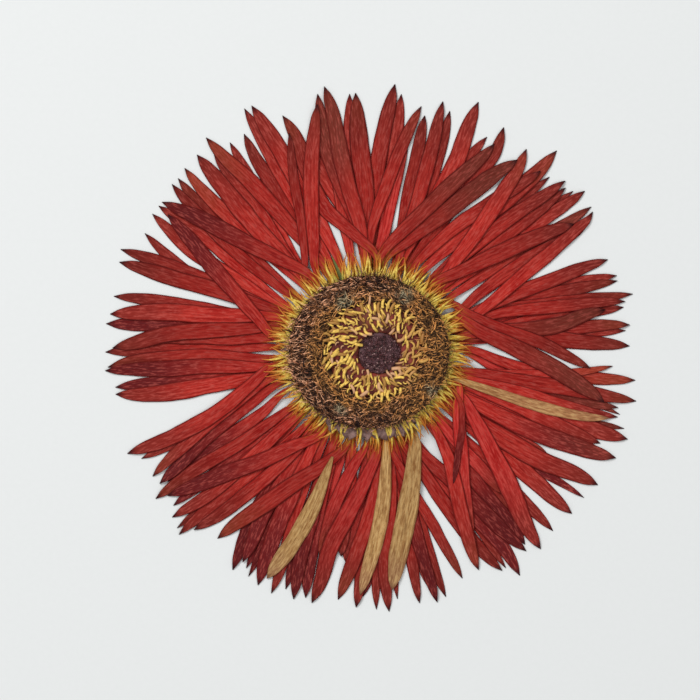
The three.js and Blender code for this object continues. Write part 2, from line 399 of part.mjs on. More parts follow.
// arc-shaped band under the disc, from one azimuth to another
function arcRing(from, to) {
  const steps = Math.max(2, Math.round((to - from) / 5));
  const outer = [];
  const inner = [];
  for (let i = 0; i <= steps; i += 1) {
    const az = from + ((to - from) * i) / steps;
    outer.push(polar(az, ARC.outer));
    inner.push(polar(az, ARC.inner));
  }
  const ring = [...outer, ...inner.slice().reverse()];
  const triangles = [];
  for (let i = 0; i < steps; i += 1) {
    const back = ring.length - 1 - i;
    triangles.push([i, i + 1, back - 1], [i, back - 1, back]);
  }
  return { ring, triangles };
}

function clean(geometry) {
  const bare = new THREE.BufferGeometry();
  bare.setAttribute('position', geometry.getAttribute('position'));
  bare.setIndex(geometry.getIndex());
  const merged = mergeVertices(bare, 1e-4);
  const index = [...merged.getIndex().array];
  const kept = [];
  for (let i = 0; i < index.length; i += 3) {
    const [a, b, c] = index.slice(i, i + 3);
    if (a !== b && b !== c && a !== c) {
      kept.push(a, b, c);
    }
  }
  merged.setIndex(kept);
  merged.computeVertexNormals();
  return merged;
}

const wasm = await Module();
wasm.setup();

function toManifold(geometry) {
  const solid = clean(geometry);
  return new wasm.Manifold(new wasm.Mesh({
    numProp: 3,
    vertProperties: new Float32Array(solid.getAttribute('position').array),
    triVerts: new Uint32Array(solid.getIndex().array),
  }));
}

function join(geometries) {
  const solid = wasm.Manifold.union(geometries.map(toManifold));
  const mesh = solid.getMesh();
  const geometry = new THREE.BufferGeometry();
  geometry.setAttribute('position', new THREE.Float32BufferAttribute(mesh.vertProperties, 3));
  geometry.setIndex([...mesh.triVerts]);
  return geometry;
}

// ---- which florets are single, and which are joined in the lower fans ----
const blades = FLORETS.map((floret) => {
  const [name, level, , finish, ...line] = floret;
  const blade = edges(floret);
  const foot = ((line[line.length - 1][0] % 360) + 360) % 360;
  return { name, level, finish, blade, foot, cells: cellsOf(ringOf(blade)) };
});
const items = [];
const lower = blades.filter((b) => b.level < SINGLE_LEVEL).sort((a, b) => a.level - b.level || a.foot - b.foot);
const fans = [];
for (let s = 0; s < SECTORS; s += 1) {
  for (let f = 0; f < FANS; f += 1) {
    fans.push({ sector: s, rank: f, members: [], cells: new Set() });
  }
}
for (const b of lower) {
  const sector = Math.floor(b.foot / (360 / SECTORS));
  const choice = fans.filter((f) => f.sector === sector && f.rank >= Math.min(b.level, FANS - 1) - 1);
  const fan = choice.find((f) => !meets(f.cells, b.cells));
  if (fan) {
    fan.members.push(b);
    b.cells.forEach((cell) => fan.cells.add(cell));
  } else {
    items.push({ name: `ray_floret_${b.name}`, level: b.level, members: [b], cells: b.cells });
  }
}
for (const fan of fans.filter((f) => f.members.length > 0)) {
  const name = fan.members.length > 1 ? `ray_fan_${fan.sector + 1}_${fan.rank + 1}` : `ray_floret_${fan.members[0].name}`;
  let arc = null;
  if (fan.members.length > 1) {
    const feet = fan.members.map((m) => m.foot);
    arc = arcRing(Math.min(...feet) - 3, Math.max(...feet) + 3);
    cellsOf(arc.ring).forEach((cell) => fan.cells.add(cell));
  }
  const level = Math.min(fan.rank - 0.5, SINGLE_LEVEL - 0.1);
  items.push({ name, level, members: fan.members, cells: fan.cells, arc });
}
for (const b of blades.filter((x) => x.level >= SINGLE_LEVEL)) {
  items.push({ name: `ray_floret_${b.name}`, level: b.level, members: [b], cells: b.cells });
}

// ---- stack them: each lies on the highest thing already under it ----
const top = new Map();
let clawTop = 0;
items.sort((a, b) => a.level - b.level);
for (const item of items) {
  let layer = 0;
  item.cells.forEach((cell) => {
    layer = Math.max(layer, (top.get(cell) ?? -1) + 1);
  });
  item.cells.forEach((cell) => top.set(cell, layer));
  item.layer = layer;
  clawTop = Math.max(clawTop, layerZ(layer, CLAW_R) + BLADE);
}
const CROWN_Z = clawTop + 0.1;       // underside of the disc over the claws

// ---- build the meshes ----
const group = new THREE.Group();
group.name = 'pressed_gerbera';

function add(name, geometry, colour, roughness = 0.8) {
  const material = new THREE.MeshStandardMaterial({ color: colour, roughness, metalness: 0 });
  const mesh = new THREE.Mesh(clean(geometry), material);
  mesh.name = name;
  group.add(mesh);
}

for (const item of items) {
  const parts = item.members.map((m) => bladeGeometry(m.blade, item.layer));
  if (item.arc) {
    const mid = (r) => layerZ(item.layer, r) + BLADE / 2;
    const { ring, triangles } = item.arc;
    parts.push(plate(ring, triangles, (r) => mid(r) - ARC.thick / 2, (r) => mid(r) + ARC.thick / 2));
  }
  const finish = item.members.length > 1 ? 'red' : item.members[0].finish;
  add(item.name, parts.length > 1 ? join(parts) : parts[0], COLOURS[finish]);
}

add('stem_scar', lathe([[0, 0], [STEM.r, 0], [STEM.r, STEM.z1 - 0.1], [STEM.r - 0.3, STEM.z1], [0, STEM.z1]], 20),
  0x6b5a3a, 0.9);
add('outer_bracts', starRing(OUTER_BRACTS, 6, 0.05), 0x59602c);
add('inner_bracts', starRing(INNER_BRACTS, 0, 0.04), 0x6a7430);
const deck = CROWN_Z - 0.06;
add('receptacle', lathe([[0, RECEPTACLE.z0], [RECEPTACLE.r, RECEPTACLE.z0], [RECEPTACLE.r + 0.6, deck - 0.5],
  [RECEPTACLE.r, deck], [0, deck]], 30), 0x4d4a26, 0.9);
add('claw_fringe', starRing({ ...FRINGE, z0: CROWN_Z, z1: CROWN_Z + FRINGE.thick }, 2, 0.05), 0xcfa83a);
const shelf = CROWN_Z + FRINGE.thick + 0.04;
const antherHub = [ANTHERS.x, ANTHERS.y];
const eyeHub = [EYE.x, EYE.y];
add('pappus_ring', lathe([[RING.inner, CROWN_Z], [13.6, CROWN_Z], [13.7, shelf], [RING.outer - 0.3, shelf],
  [RING.outer, shelf + 0.25], [RING.outer - 0.6, shelf + RING.rise * 0.75], [14.8, shelf + RING.rise],
  [12, shelf + RING.rise * 0.95], [RING.inner, shelf + RING.rise * 0.6], [RING.inner, CROWN_Z]],
44, antherHub, [0, 0], RING.oval), 0x33201a, 0.95);
add('anther_ring', lathe([[ANTHERS.inner, CROWN_Z], [ANTHERS.outer, CROWN_Z], [ANTHERS.outer, CROWN_Z + 1],
  [ANTHERS.outer - 0.8, CROWN_Z + ANTHERS.rise], [7, CROWN_Z + ANTHERS.rise + 0.25],
  [5.2, CROWN_Z + ANTHERS.rise - 0.05], [ANTHERS.inner, CROWN_Z + 1.1], [ANTHERS.inner, CROWN_Z]],
36, eyeHub, antherHub), 0xc79a30, 0.85);
add('eye', lathe([[0, CROWN_Z], [EYE.r, CROWN_Z], [EYE.r, CROWN_Z + 0.8], [EYE.r - 0.6, CROWN_Z + EYE.rise],
  [1.8, CROWN_Z + EYE.rise + 0.2], [0, CROWN_Z + EYE.rise + 0.1]], 28, eyeHub), 0x271420, 0.9);

// origin at the bottom centre of the whole
const box = new THREE.Box3().setFromObject(group);
const shift = box.getCenter(new THREE.Vector3()).setZ(box.min.z);
for (const mesh of group.children) {
  mesh.geometry.translate(-shift.x, -shift.y, -shift.z);
}

export default group;
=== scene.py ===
"""Pressed gerbera flower head: the looks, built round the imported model.

The file is laid out as an add-on. Lengths are metres in the model's own frame, and names that end in _MM are
millimetres. Azimuths are degrees anticlockwise from the right, seen from above.
"""

import json
import math

import bpy
import numpy as np
from bpy.props import FloatProperty, FloatVectorProperty, IntProperty, PointerProperty
from bpy.types import Operator, Panel, PropertyGroup
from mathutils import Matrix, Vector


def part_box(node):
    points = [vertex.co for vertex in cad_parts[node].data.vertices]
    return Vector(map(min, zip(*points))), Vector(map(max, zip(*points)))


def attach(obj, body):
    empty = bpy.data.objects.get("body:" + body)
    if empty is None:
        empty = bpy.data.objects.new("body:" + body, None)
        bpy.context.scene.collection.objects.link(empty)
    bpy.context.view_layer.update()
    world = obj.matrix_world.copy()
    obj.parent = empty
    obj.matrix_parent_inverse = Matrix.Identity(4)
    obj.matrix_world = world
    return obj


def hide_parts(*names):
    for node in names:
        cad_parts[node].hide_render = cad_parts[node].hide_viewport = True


bl_info = {
    "name": "Pressed gerbera flower",
    "version": (1, 0, 0),
    "blender": (4, 5, 0),
    "location": "View3D > Sidebar > Gerbera",
    "description": "Builds a pressed and dried gerbera flower head piece by piece",
    "category": "Add Mesh",
}

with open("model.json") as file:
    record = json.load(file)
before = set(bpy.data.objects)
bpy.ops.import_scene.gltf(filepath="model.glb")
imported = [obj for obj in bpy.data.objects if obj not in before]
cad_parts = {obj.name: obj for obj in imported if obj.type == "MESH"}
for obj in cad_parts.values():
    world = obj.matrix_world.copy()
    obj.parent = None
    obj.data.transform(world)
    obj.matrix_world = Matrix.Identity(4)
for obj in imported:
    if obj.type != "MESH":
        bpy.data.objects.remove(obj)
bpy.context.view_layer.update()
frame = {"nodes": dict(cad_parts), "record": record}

MM = 0.001


def middle(node):
    """Plan centre of a node of the frame."""
    low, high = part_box(node)
    return np.array([(low.x + high.x) / 2, (low.y + high.y) / 2])


def half_width(node, axis):
    """Half of a node's size along x or y."""
    low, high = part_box(node)
    return (getattr(high, axis) - getattr(low, axis)) / 2


CENTRE = middle("stem_scar")                   # middle of the disc
ANTHER_CENTRE = middle("anther_ring")
EYE_CENTRE = middle("eye")
CROWN_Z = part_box("pappus_ring")[0].z           # underside of the disc
RING_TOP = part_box("pappus_ring")[1].z
RING_RADIUS = half_width("pappus_ring", "x")
RING_OVAL = half_width("pappus_ring", "y") / RING_RADIUS
ANTHER_RADIUS = half_width("anther_ring", "x")
ANTHER_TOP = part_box("anther_ring")[1].z
EYE_RADIUS = half_width("eye", "x")
EYE_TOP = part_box("eye")[1].z

# Blades
CLAW_CUT = 17.0 * MM                           # inside this the claws run into each other under the disc
CLAW_END = 15.2 * MM                           # where a blade ends under the disc
BLADE_ROWS, BLADE_COLUMNS = 46, 15             # points along and across a blade
VEINS = 5                                      # raised veins across a blade
LEAST_HALF_WIDTH = 0.05 * MM                   # at the tip
SPINE_WANDER = 0.16 * MM                       # how far the middle line strays
BLADE_GAP = 0.02 * MM                          # air between a blade and what lies under it
WIDTH_RADII_MM = (16, 18, 20, 22, 26, 60)      # a blade narrows to its claw near the disc
WIDTH_SHARES = (0.55, 0.7, 1.0, 1.14, 1.1, 1.0)

# Stack of blades in the frame, by how far out a point lies: the lowest layer's height and the step between layers
STACK_START_MM, STACK_SPAN_MM = 16, 42
LOWEST_LAYER_MM, LOWEST_LAYER_FALL_MM = 0.66, 0.61
LAYER_STEP_MM, LAYER_STEP_FALL_MM = 0.19, 0.06

# Height map that the blades drape over, with the bed that rises toward the disc
CELL = 0.3 * MM                                # size of a cell
REACH = 62 * MM                                # half width of the map
BED_TOP_MM, BED_EDGE_MM = 15.5, 27             # radii where the rise ends and starts
BED_FLOOR_MM, BED_RISE_MM = 0.03, 1.15

# Underside and fringe
PEEK = 3.2 * MM                                # how much longer a bract is that shows between the blades
FRINGE_INNER_MM, FRINGE_OUTER_MM = 15.2, 16.7  # ring the golden needles grow from
SCALE_FOOT_MM = 13.8                           # radius of the hidden foot of a papery scale

GOLDEN_ANGLE = 2.399963                        # turn from one bud of the eye to the next, in radians

# Stage
FLOOR_HALF = 3.0
FLOOR_Z = -0.02 * MM
ROOM_COLOUR = (0.975, 0.985, 0.99, 1.0)
ROOM_STRENGTH = 0.49
SENSOR_MM = 36.0
CAMERA_OFFSET = (-4.05 * MM, 0.43 * MM)        # from the middle of the disc

FINISHES = ("red", "bright", "dark", "rust", "tan")

# Finish of the blades of the joined fans, by the azimuth and radius of the tip, in degrees and millimetres. The
# others are red.
FAN_FINISHES = {
    "bright": [(12.3, 50), (80.3, 47), (254.8, 44), (256.5, 45), (263.8, 45.5), (301, 45), (312.2, 46), (313.6, 42),
               (330, 44), (331.8, 40), (337.8, 47), (351.8, 40), (257.3, 54.9)],
    "dark": [(33.2, 56.6), (99.6, 57.4), (101.2, 56.1), (173.7, 56.4), (184.1, 56.4), (187.9, 54.6), (212.3, 52.7),
             (212.9, 51), (218, 53), (238.1, 54.8), (239.1, 52.3), (240.3, 53), (241.8, 54.3), (244.4, 55.1),
             (250.7, 53.6), (253.1, 55.1), (255.7, 54.1), (268.7, 52.2), (285.2, 55.3), (283.9, 51.5), (304.1, 57.5),
             (308.2, 54.1), (308.95, 52.8), (326, 55.3), (336.7, 57.3), (343.2, 56.8), (346.1, 55.1), (347.3, 54.4)],
    "rust": [(135, 55.5), (353.95, 57.1), (356.65, 52), (127.3, 57.4)],
}

# Pale fluffy spots in the bristle ring: azimuth in degrees, radius and size in millimetres.
FLUFFS = ((117, 11.6, 1.9), (57, 14.2, 1.8), (329, 16.0, 1.7), (243, 13.6, 1.3))

# Papery scales: azimuth in degrees, radius of the outer edge and width in millimetres.
SCALES = ((236, 17.7, 3.0), (244, 18.3, 3.6), (250, 18.0, 4.2), (257, 18.7, 3.4), (263, 18.1, 4.4), (270, 18.9, 3.8),
          (276, 18.2, 4.2), (283, 18.9, 4.6), (289, 18.4, 4.0), (294, 18.9, 3.6), (181, 18.0, 3.2), (302, 17.9, 3.4))


# ---------------------------------------------------------------- settings

class GERBERA_PG_florets(PropertyGroup):
    """Sizes and colours of the ray florets."""

    thickness: FloatProperty(name="Thickness", description="Thickness of a dried blade", default=0.07 * MM,
                             min=0.02 * MM, max=0.3 * MM, precision=6, unit="LENGTH", subtype="DISTANCE")
    vein_height: FloatProperty(name="Vein height", description="How far the veins stand out", default=0.03 * MM,
                               min=0, max=0.2 * MM, precision=6, unit="LENGTH", subtype="DISTANCE")
    wave: FloatProperty(name="Wave", description="Height of the slow waves left by drying", default=0.12 * MM,
                        min=0, max=1 * MM, precision=6, unit="LENGTH", subtype="DISTANCE")
    raggedness: FloatProperty(name="Raggedness", description="Share by which the edges wander", default=0.07,
                              min=0, max=0.4, subtype="FACTOR")
    red: FloatVectorProperty(name="Red", description="Colour of most blades", default=(0.575, 0.029, 0.020),
                             size=3, min=0, max=1, subtype="COLOR")
    bright: FloatVectorProperty(name="Bright red", description="Colour of the clearest blades",
                                default=(0.67, 0.034, 0.028), size=3, min=0, max=1, subtype="COLOR")
    dark: FloatVectorProperty(name="Maroon", description="Colour of blades that turned dark",
                              default=(0.118, 0.012, 0.014), size=3, min=0, max=1, subtype="COLOR")
    rust: FloatVectorProperty(name="Rust", description="Colour of blades with an orange flush",
                              default=(0.33, 0.062, 0.028), size=3, min=0, max=1, subtype="COLOR")
    tan: FloatVectorProperty(name="Tan", description="Colour of the faded blades", default=(0.72, 0.43, 0.155),
                             size=3, min=0, max=1, subtype="COLOR")
    tip: FloatVectorProperty(name="Tip", description="Colour of the withered tips", default=(0.035, 0.006, 0.008),
                             size=3, min=0, max=1, subtype="COLOR")
    claw: FloatVectorProperty(name="Claw", description="Colour of the narrow feet by the disc",
                              default=(0.82, 0.46, 0.050), size=3, min=0, max=1, subtype="COLOR")


class GERBERA_PG_disc(PropertyGroup):
    """Sizes and colours of the disc."""

    bristles: IntProperty(name="Bristles", description="Bristles of the darker kind", default=3000, min=10)
    bristle_length: FloatProperty(name="Bristle length", description="Mean length of a bristle", default=1.7 * MM,
                                  min=0.2 * MM, max=5 * MM, precision=5, unit="LENGTH", subtype="DISTANCE")
    anthers: IntProperty(name="Anthers", description="Curled anthers in the golden crown", default=265, min=5)
    anther_length: FloatProperty(name="Anther length", description="Mean length of an anther", default=1.7 * MM,
                                 min=0.3 * MM, max=6 * MM, precision=5, unit="LENGTH", subtype="DISTANCE")
    buds: IntProperty(name="Buds", description="Unopened buds in the eye", default=600, min=20)
    needles: IntProperty(name="Needles", description="Narrow golden florets under the edge of the disc",
                         default=620, min=10)
    needle_length: FloatProperty(name="Needle length", description="Mean length of a golden floret",
                                 default=4.7 * MM, min=1 * MM, max=9 * MM, precision=5, unit="LENGTH",
                                 subtype="DISTANCE")
    gold: FloatVectorProperty(name="Gold", description="Colour of the anthers", default=(0.84, 0.54, 0.11),
                              size=3, min=0, max=1, subtype="COLOR")
    umber: FloatVectorProperty(name="Umber", description="Colour of the dark bristles",
                               default=(0.032, 0.009, 0.005), size=3, min=0, max=1, subtype="COLOR")
    fawn: FloatVectorProperty(name="Fawn", description="Colour of the pale bristles", default=(0.86, 0.44, 0.25),
                              size=3, min=0, max=1, subtype="COLOR")
    plum: FloatVectorProperty(name="Plum", description="Colour of the buds of the eye",
                              default=(0.070, 0.023, 0.024), size=3, min=0, max=1, subtype="COLOR")


class GERBERA_PG_bracts(PropertyGroup):
    """Sizes and colours of the underside."""

    width: FloatProperty(name="Bract width", description="Greatest width of a bract", default=2.7 * MM,
                         min=0.5 * MM, max=8 * MM, precision=5, unit="LENGTH", subtype="DISTANCE")
    green: FloatVectorProperty(name="Green", description="Colour of the bracts", default=(0.135, 0.165, 0.040),
                               size=3, min=0, max=1, subtype="COLOR")
    brown: FloatVectorProperty(name="Brown", description="Colour of their dry tips and edges",
                               default=(0.10, 0.052, 0.025), size=3, min=0, max=1, subtype="COLOR")


class GERBERA_PG_stage(PropertyGroup):
    """Floor, light and camera."""

    floor: FloatVectorProperty(name="Floor", description="Colour of the floor", default=(0.80, 0.815, 0.81),
                               size=3, min=0, max=1, subtype="COLOR")
    light: FloatProperty(name="Light", description="Power of the main soft light", default=8.6, min=0,
                         unit="POWER")
    view_width: FloatProperty(name="View width", description="Width of floor that the camera sees",
                              default=149.25 * MM, min=10 * MM, precision=4, unit="LENGTH", subtype="DISTANCE")
    view_height: FloatProperty(name="View height", description="Height of the camera over the floor",
                               default=900 * MM, min=50 * MM, precision=3, unit="LENGTH", subtype="DISTANCE")


# ---------------------------------------------------------------- meshes

def rng_for(*values):
    """Repeatable random numbers for one piece."""
    return np.random.default_rng([int(abs(v) * 1e6) % 2**31 for v in values])


def through(xs, ys, x):
    """Smooth curve through stations, with slopes from their neighbours."""
    xs, ys, x = np.asarray(xs, float), np.asarray(ys, float), np.asarray(x, float)
    slope = np.gradient(ys, xs, axis=0)
    i = np.clip(np.searchsorted(xs, x) - 1, 0, len(xs) - 2)
    h = xs[i + 1] - xs[i]
    t = (x - xs[i]) / h
    if ys.ndim == 2:
        h, t = h[:, None], t[:, None]
    return ((2 * t**3 - 3 * t**2 + 1) * ys[i] + (t**3 - 2 * t**2 + t) * h * slope[i]
            + (3 * t**2 - 2 * t**3) * ys[i + 1] + (t**3 - t**2) * h * slope[i + 1])


def wander(rng, length, count, waves):
    """Slow random curve of the given number of points, between about -1 and 1."""
    knots = rng.uniform(-1, 1, waves + 2)
    return through(np.linspace(0, length, waves + 2), knots, np.linspace(0, length, count))


def new_object(name, vertices, faces, attributes=None, smooth=True):
    """Mesh object at the origin, linked to the scene, with float attributes on its points."""
    mesh = bpy.data.meshes.new(name)
    mesh.from_pydata([tuple(v) for v in vertices], [], [tuple(f) for f in faces])
    for key, values in (attributes or {}).items():
        layer = mesh.attributes.new(key, "FLOAT", "POINT")
        layer.data.foreach_set("value", np.asarray(values, np.float32))
    mesh.polygons.foreach_set("use_smooth", [smooth] * len(mesh.polygons))
    mesh.update()
    piece = bpy.data.objects.new(name, mesh)
    bpy.context.scene.collection.objects.link(piece)
    return piece


def keep(piece, material, node):
    """Gives a finished piece its material, and ties it to the frame in place of a node."""
    piece.data.materials.clear()
    piece.data.materials.append(material)
    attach(piece, "root")
    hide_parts(node)


def grid_faces(rows, columns, start=0, flip=False):
    """Quads of a grid whose points run row by row."""
    faces = []
    for r in range(rows - 1):
        for c in range(columns - 1):
            a = start + r * columns + c
            quad = (a, a + 1, a + columns + 1, a + columns)
            faces.append(quad[::-1] if flip else quad)
    return faces


def shell(plan, under, over):
    """Closed thin shell from a grid of plan points and the heights of its two sides."""
    rows, columns = under.shape
    size = rows * columns
    flat = plan.reshape(-1, 2)
    bottom = np.column_stack([flat, under.reshape(-1)])
    top = np.column_stack([flat, over.reshape(-1)])
    a, b, d = plan[rows // 2, 0], plan[rows // 2, 1], plan[rows // 2 + 1, 0]
    turn = (b[0] - a[0]) * (d[1] - a[1]) - (b[1] - a[1]) * (d[0] - a[0]) < 0
    faces = grid_faces(rows, columns, size, flip=turn) + grid_faces(rows, columns, 0, flip=not turn)
    rim = ([c for c in range(columns)] + [r * columns + columns - 1 for r in range(1, rows)]
           + [(rows - 1) * columns + c for c in range(columns - 2, -1, -1)]
           + [r * columns for r in range(rows - 2, 0, -1)])
    for i, first in enumerate(rim):
        second = rim[(i + 1) % len(rim)]
        wall = (first, second, second + size, first + size)
        faces.append(wall[::-1] if turn else wall)
    return np.vstack([bottom, top]), faces


def joined_shells(name, shells):
    """One mesh of closed shells, each given as its points, its quads and the attributes of its points."""
    vertices, faces, marks = [], [], {}
    start = 0
    for points, quads, attributes in shells:
        vertices.append(points)
        faces += [tuple(start + k for k in quad) for quad in quads]
        start += len(points)
        for key, values in attributes.items():
            marks.setdefault(key, []).append(values)
    marks = {key: np.concatenate(values) for key, values in marks.items()}
    return new_object(name, np.vstack(vertices), faces, marks)


def shell_marks(s, v):
    """Places along and across a shell, for all points of both of its sides."""
    return {"along": np.tile(np.repeat(s, len(v)), 2), "across": np.tile(np.tile(v, len(s)), 2)}


def directions(line):
    """Unit vectors across a line, to its left."""
    ahead = np.gradient(line, axis=0)
    ahead /= np.linalg.norm(ahead, axis=1)[:, None]
    return np.column_stack([-ahead[:, 1], ahead[:, 0]])


# ---------------------------------------------------------------- ray florets

def outlines(node):
    """Florets of a node of the frame, each as pairs of edge points from the tip to the claw."""
    mesh = frame["nodes"][node].data
    co = np.empty(len(mesh.vertices) * 3)
    mesh.vertices.foreach_get("co", co)
    co = co.reshape(-1, 3)
    corners = np.empty(len(mesh.loops), int)
    mesh.loops.foreach_get("vertex_index", corners)
    plan, where = np.unique(np.round(co[:, :2] * 2e5).astype(int), axis=0, return_inverse=True)
    where = where.reshape(-1)
    plan = plan / 2e5
    low = np.full(len(plan), np.inf)
    np.minimum.at(low, where, co[:, 2])
    radius = np.linalg.norm(plan - CENTRE, axis=1)
    beside = {}
    for face in where[corners.reshape(-1, 3)]:
        ends = set(int(i) for i in face)
        if len(ends) == 2 and all(radius[i] > CLAW_CUT for i in ends):
            a, b = ends
            beside.setdefault(a, set()).add(b)
            beside.setdefault(b, set()).add(a)
    found = []
    left_over = set(beside)
    while left_over:
        group, front = set(), [min(left_over)]
        while front:
            i = front.pop()
            if i not in group:
                group.add(i)
                front.extend(beside[i])
        left_over -= group
        tip = max(group, key=lambda i: radius[i])
        sides = []
        for first in sorted(beside[tip]):
            chain = [tip, first]
            while True:
                onward = [i for i in sorted(beside[chain[-1]]) if i not in chain]
                if not onward:
                    break
                chain.append(onward[0])
            sides.append(chain)
        if len(sides) != 2:
            raise RuntimeError(f"a floret of {node} has no clear tip")
        steps = min(len(sides[0]), len(sides[1]), (len(group) + 1) // 2)
        if steps < 4:
            continue
        one, two = plan[sides[0][:steps]], plan[sides[1][:steps]]
        ahead = (one + two)[1] / 2 - one[0]
        across = one[1] - two[1]
        if ahead[0] * across[1] - ahead[1] * across[0] < 0:
            one, two = two, one
        torn = len(sides[0]) == len(group)
        found.append({"node": node, "left": one, "right": two, "torn": torn,
                      "z": low[sides[0][steps // 2]], "r": radius[sides[0][steps // 2]],
                      "tip": plan[tip] - CENTRE})
    return found


def layer_of(floret):
    """Place in the stack, from how high the blade of the frame lies."""
    share = (floret["r"] / MM - STACK_START_MM) / STACK_SPAN_MM
    above_lowest = floret["z"] / MM - LOWEST_LAYER_MM + LOWEST_LAYER_FALL_MM * share
    return above_lowest / (LAYER_STEP_MM - LAYER_STEP_FALL_MM * share)


def finish_of(floret, slots):
    """Finish of a floret: its node's slot, or the nearest tip in the list for the joined fans."""
    slot = slots[floret["node"]]
    if not floret["node"].startswith("ray_fan"):
        return slot.replace("petal_", "")
    azimuth = math.degrees(math.atan2(floret["tip"][1], floret["tip"][0])) % 360
    reach = np.linalg.norm(floret["tip"]) / MM
    for finish, tips in FAN_FINISHES.items():
        if any(abs((azimuth - a + 180) % 360 - 180) < 0.7 and abs(reach - r) < 1.2 for a, r in tips):
            return finish
    return "red"


class HeightMap:
    """Heights of what already lies under the next floret."""

    def __init__(self):
        self.count = int(2 * REACH / CELL)
        axis = (np.arange(self.count) + 0.5) * CELL - REACH
        radius = np.hypot(*np.meshgrid(axis, axis, indexing="ij")) / MM
        slope = np.clip((BED_EDGE_MM - radius) / (BED_EDGE_MM - BED_TOP_MM), 0, 1)
        self.z = (BED_FLOOR_MM + BED_RISE_MM * slope**1.5) * MM
        self.blades = np.zeros_like(self.z)

    def cells(self, plan):
        """Indices of the cells that hold the given plan points."""
        index = np.floor((plan - CENTRE + REACH) / CELL).astype(int)
        index = np.clip(index, 1, self.count - 2)
        return index[..., 0], index[..., 1]

    def under(self, plan):
        """Highest thing in or next to each point's cell."""
        i, j = self.cells(plan)
        around = [self.z[i + a, j + b] for a in (-1, 0, 1) for b in (-1, 0, 1)]
        return np.max(around, axis=0)

    def lay(self, plan, top):
        """Adds a blade, from points closer together than the cells."""
        rows, columns = top.shape
        r = np.linspace(0, rows - 1, rows * 6)
        c = np.linspace(0, columns - 1, columns * 2)
        r0, c0 = np.minimum(r.astype(int), rows - 2), np.minimum(c.astype(int), columns - 2)
        fr, fc = (r - r0)[:, None], (c - c0)[None, :]

        def fine(values):
            f, g = (fr, fc) if values.ndim == 2 else (fr[..., None], fc[..., None])
            block = values[np.ix_(r0, c0)] * (1 - g) + values[np.ix_(r0, c0 + 1)] * g
            lower = values[np.ix_(r0 + 1, c0)] * (1 - g) + values[np.ix_(r0 + 1, c0 + 1)] * g
            return block * (1 - f) + lower * f

        i, j = self.cells(fine(plan))
        i, j = i.reshape(-1), j.reshape(-1)
        np.maximum.at(self.z, (i, j), fine(top).reshape(-1))
        covered = np.unique(i * self.count + j)
        self.blades.reshape(-1)[covered] += 1


def taut(support, rounds=46):
    """Surface of a limp blade pulled straight over the heights below it."""
    z = support.copy()
    for _ in range(rounds):
        padded = np.pad(z, 1, mode="edge")
        along = (padded[:-2, 1:-1] + padded[2:, 1:-1]) / 2
        across = (padded[1:-1, :-2] + padded[1:-1, 2:]) / 2
        z = np.maximum(support, 0.4 * z + 0.3 * along + 0.3 * across)
    return z


def build_floret(name, floret, heights, settings):
    """One ray floret, draped over those already laid."""
    rng = rng_for(*(floret["tip"] + 1))
    left, right = floret["left"], floret["right"]
    spine = (left + right) / 2
    half = np.linalg.norm(left - right, axis=1) / 2
    half[0] = LEAST_HALF_WIDTH
    if not floret["torn"]:
        foot = spine[-1] - CENTRE
        spine = np.vstack([spine, CENTRE + foot / np.linalg.norm(foot) * CLAW_END])
        half = np.append(half, half[-1] * 0.8)
    else:
        half[-1] *= 0.35
    at = np.append(0, np.cumsum(np.linalg.norm(np.diff(spine, axis=0), axis=1)))
    length = at[-1]
    rows, columns = BLADE_ROWS, BLADE_COLUMNS
    s = np.linspace(0, 1, rows) ** 1.2
    line = through(at, spine, s * length)
    width = through(at, half, s * length)
    width *= np.interp(np.linalg.norm(line - CENTRE, axis=1) / MM, WIDTH_RADII_MM, WIDTH_SHARES)
    width = np.maximum(width, LEAST_HALF_WIDTH)
    normal = directions(line)
    line = line + normal * (wander(rng, 1, rows, 4) * SPINE_WANDER)[:, None]
    rough = settings.raggedness
    v = np.linspace(-1, 1, columns)
    sides = [width * (1 + rough * wander(rng, 1, rows, 6) + rough * 0.4 * wander(rng, 1, rows, 19))
             for _ in range(2)]
    offset = np.where(v[None, :] < 0, sides[0][:, None], sides[1][:, None]) * v[None, :]
    plan = line[:, None, :] + normal[:, None, :] * offset[..., None]

    support = heights.under(plan)
    rest = taut(support) + BLADE_GAP
    fold = rng.uniform(0.2, 1) * settings.wave
    sway = wander(rng, 1, rows, 5)[:, None] * v[None, :] + 0.6 * wander(rng, 1, rows, 7)[:, None]
    crease = np.abs(v[None, :] - rng.uniform(-0.5, 0.5) - 0.25 * wander(rng, 1, rows, 3)[:, None])
    lift = fold * (sway - sway.min()) / (np.ptp(sway) + 1e-9)
    lift += 0.05 * MM * np.clip(crease, 0, 0.8)
    curl = rng.uniform(-0.1, 0.5) * MM * np.clip(1 - s / 0.13, 0, 1)[:, None] ** 2
    under = rest + (lift + np.maximum(curl, 0)) * np.clip(width / (0.6 * MM), 0, 1)[:, None]
    vein = settings.vein_height * (0.5 + 0.5 * np.cos(v * math.pi * VEINS + math.pi))[None, :]
    vein = vein * np.clip(width / (1.2 * MM), 0, 1)[:, None]
    over = under + settings.thickness + vein * (1 - 0.5 * np.abs(v))[None, :]
    beneath = heights.blades[heights.cells(plan)]
    heights.lay(plan, over)

    vertices, faces = shell(plan, under, over)
    radius = np.linalg.norm(plan - CENTRE, axis=2) / MM
    attributes = {
        **shell_marks(s, v),
        "radius_mm": np.tile(radius.reshape(-1), 2),
        "run_mm": np.tile(np.repeat(s * length / MM, columns), 2),
        "side_mm": np.tile((offset / MM).reshape(-1), 2),
        "beneath": np.tile(beneath.reshape(-1), 2),
        "tone": np.full(len(vertices), rng.uniform(0, 1)),
    }
    return new_object(name, vertices, faces, attributes)


# ---------------------------------------------------------------- material nodes

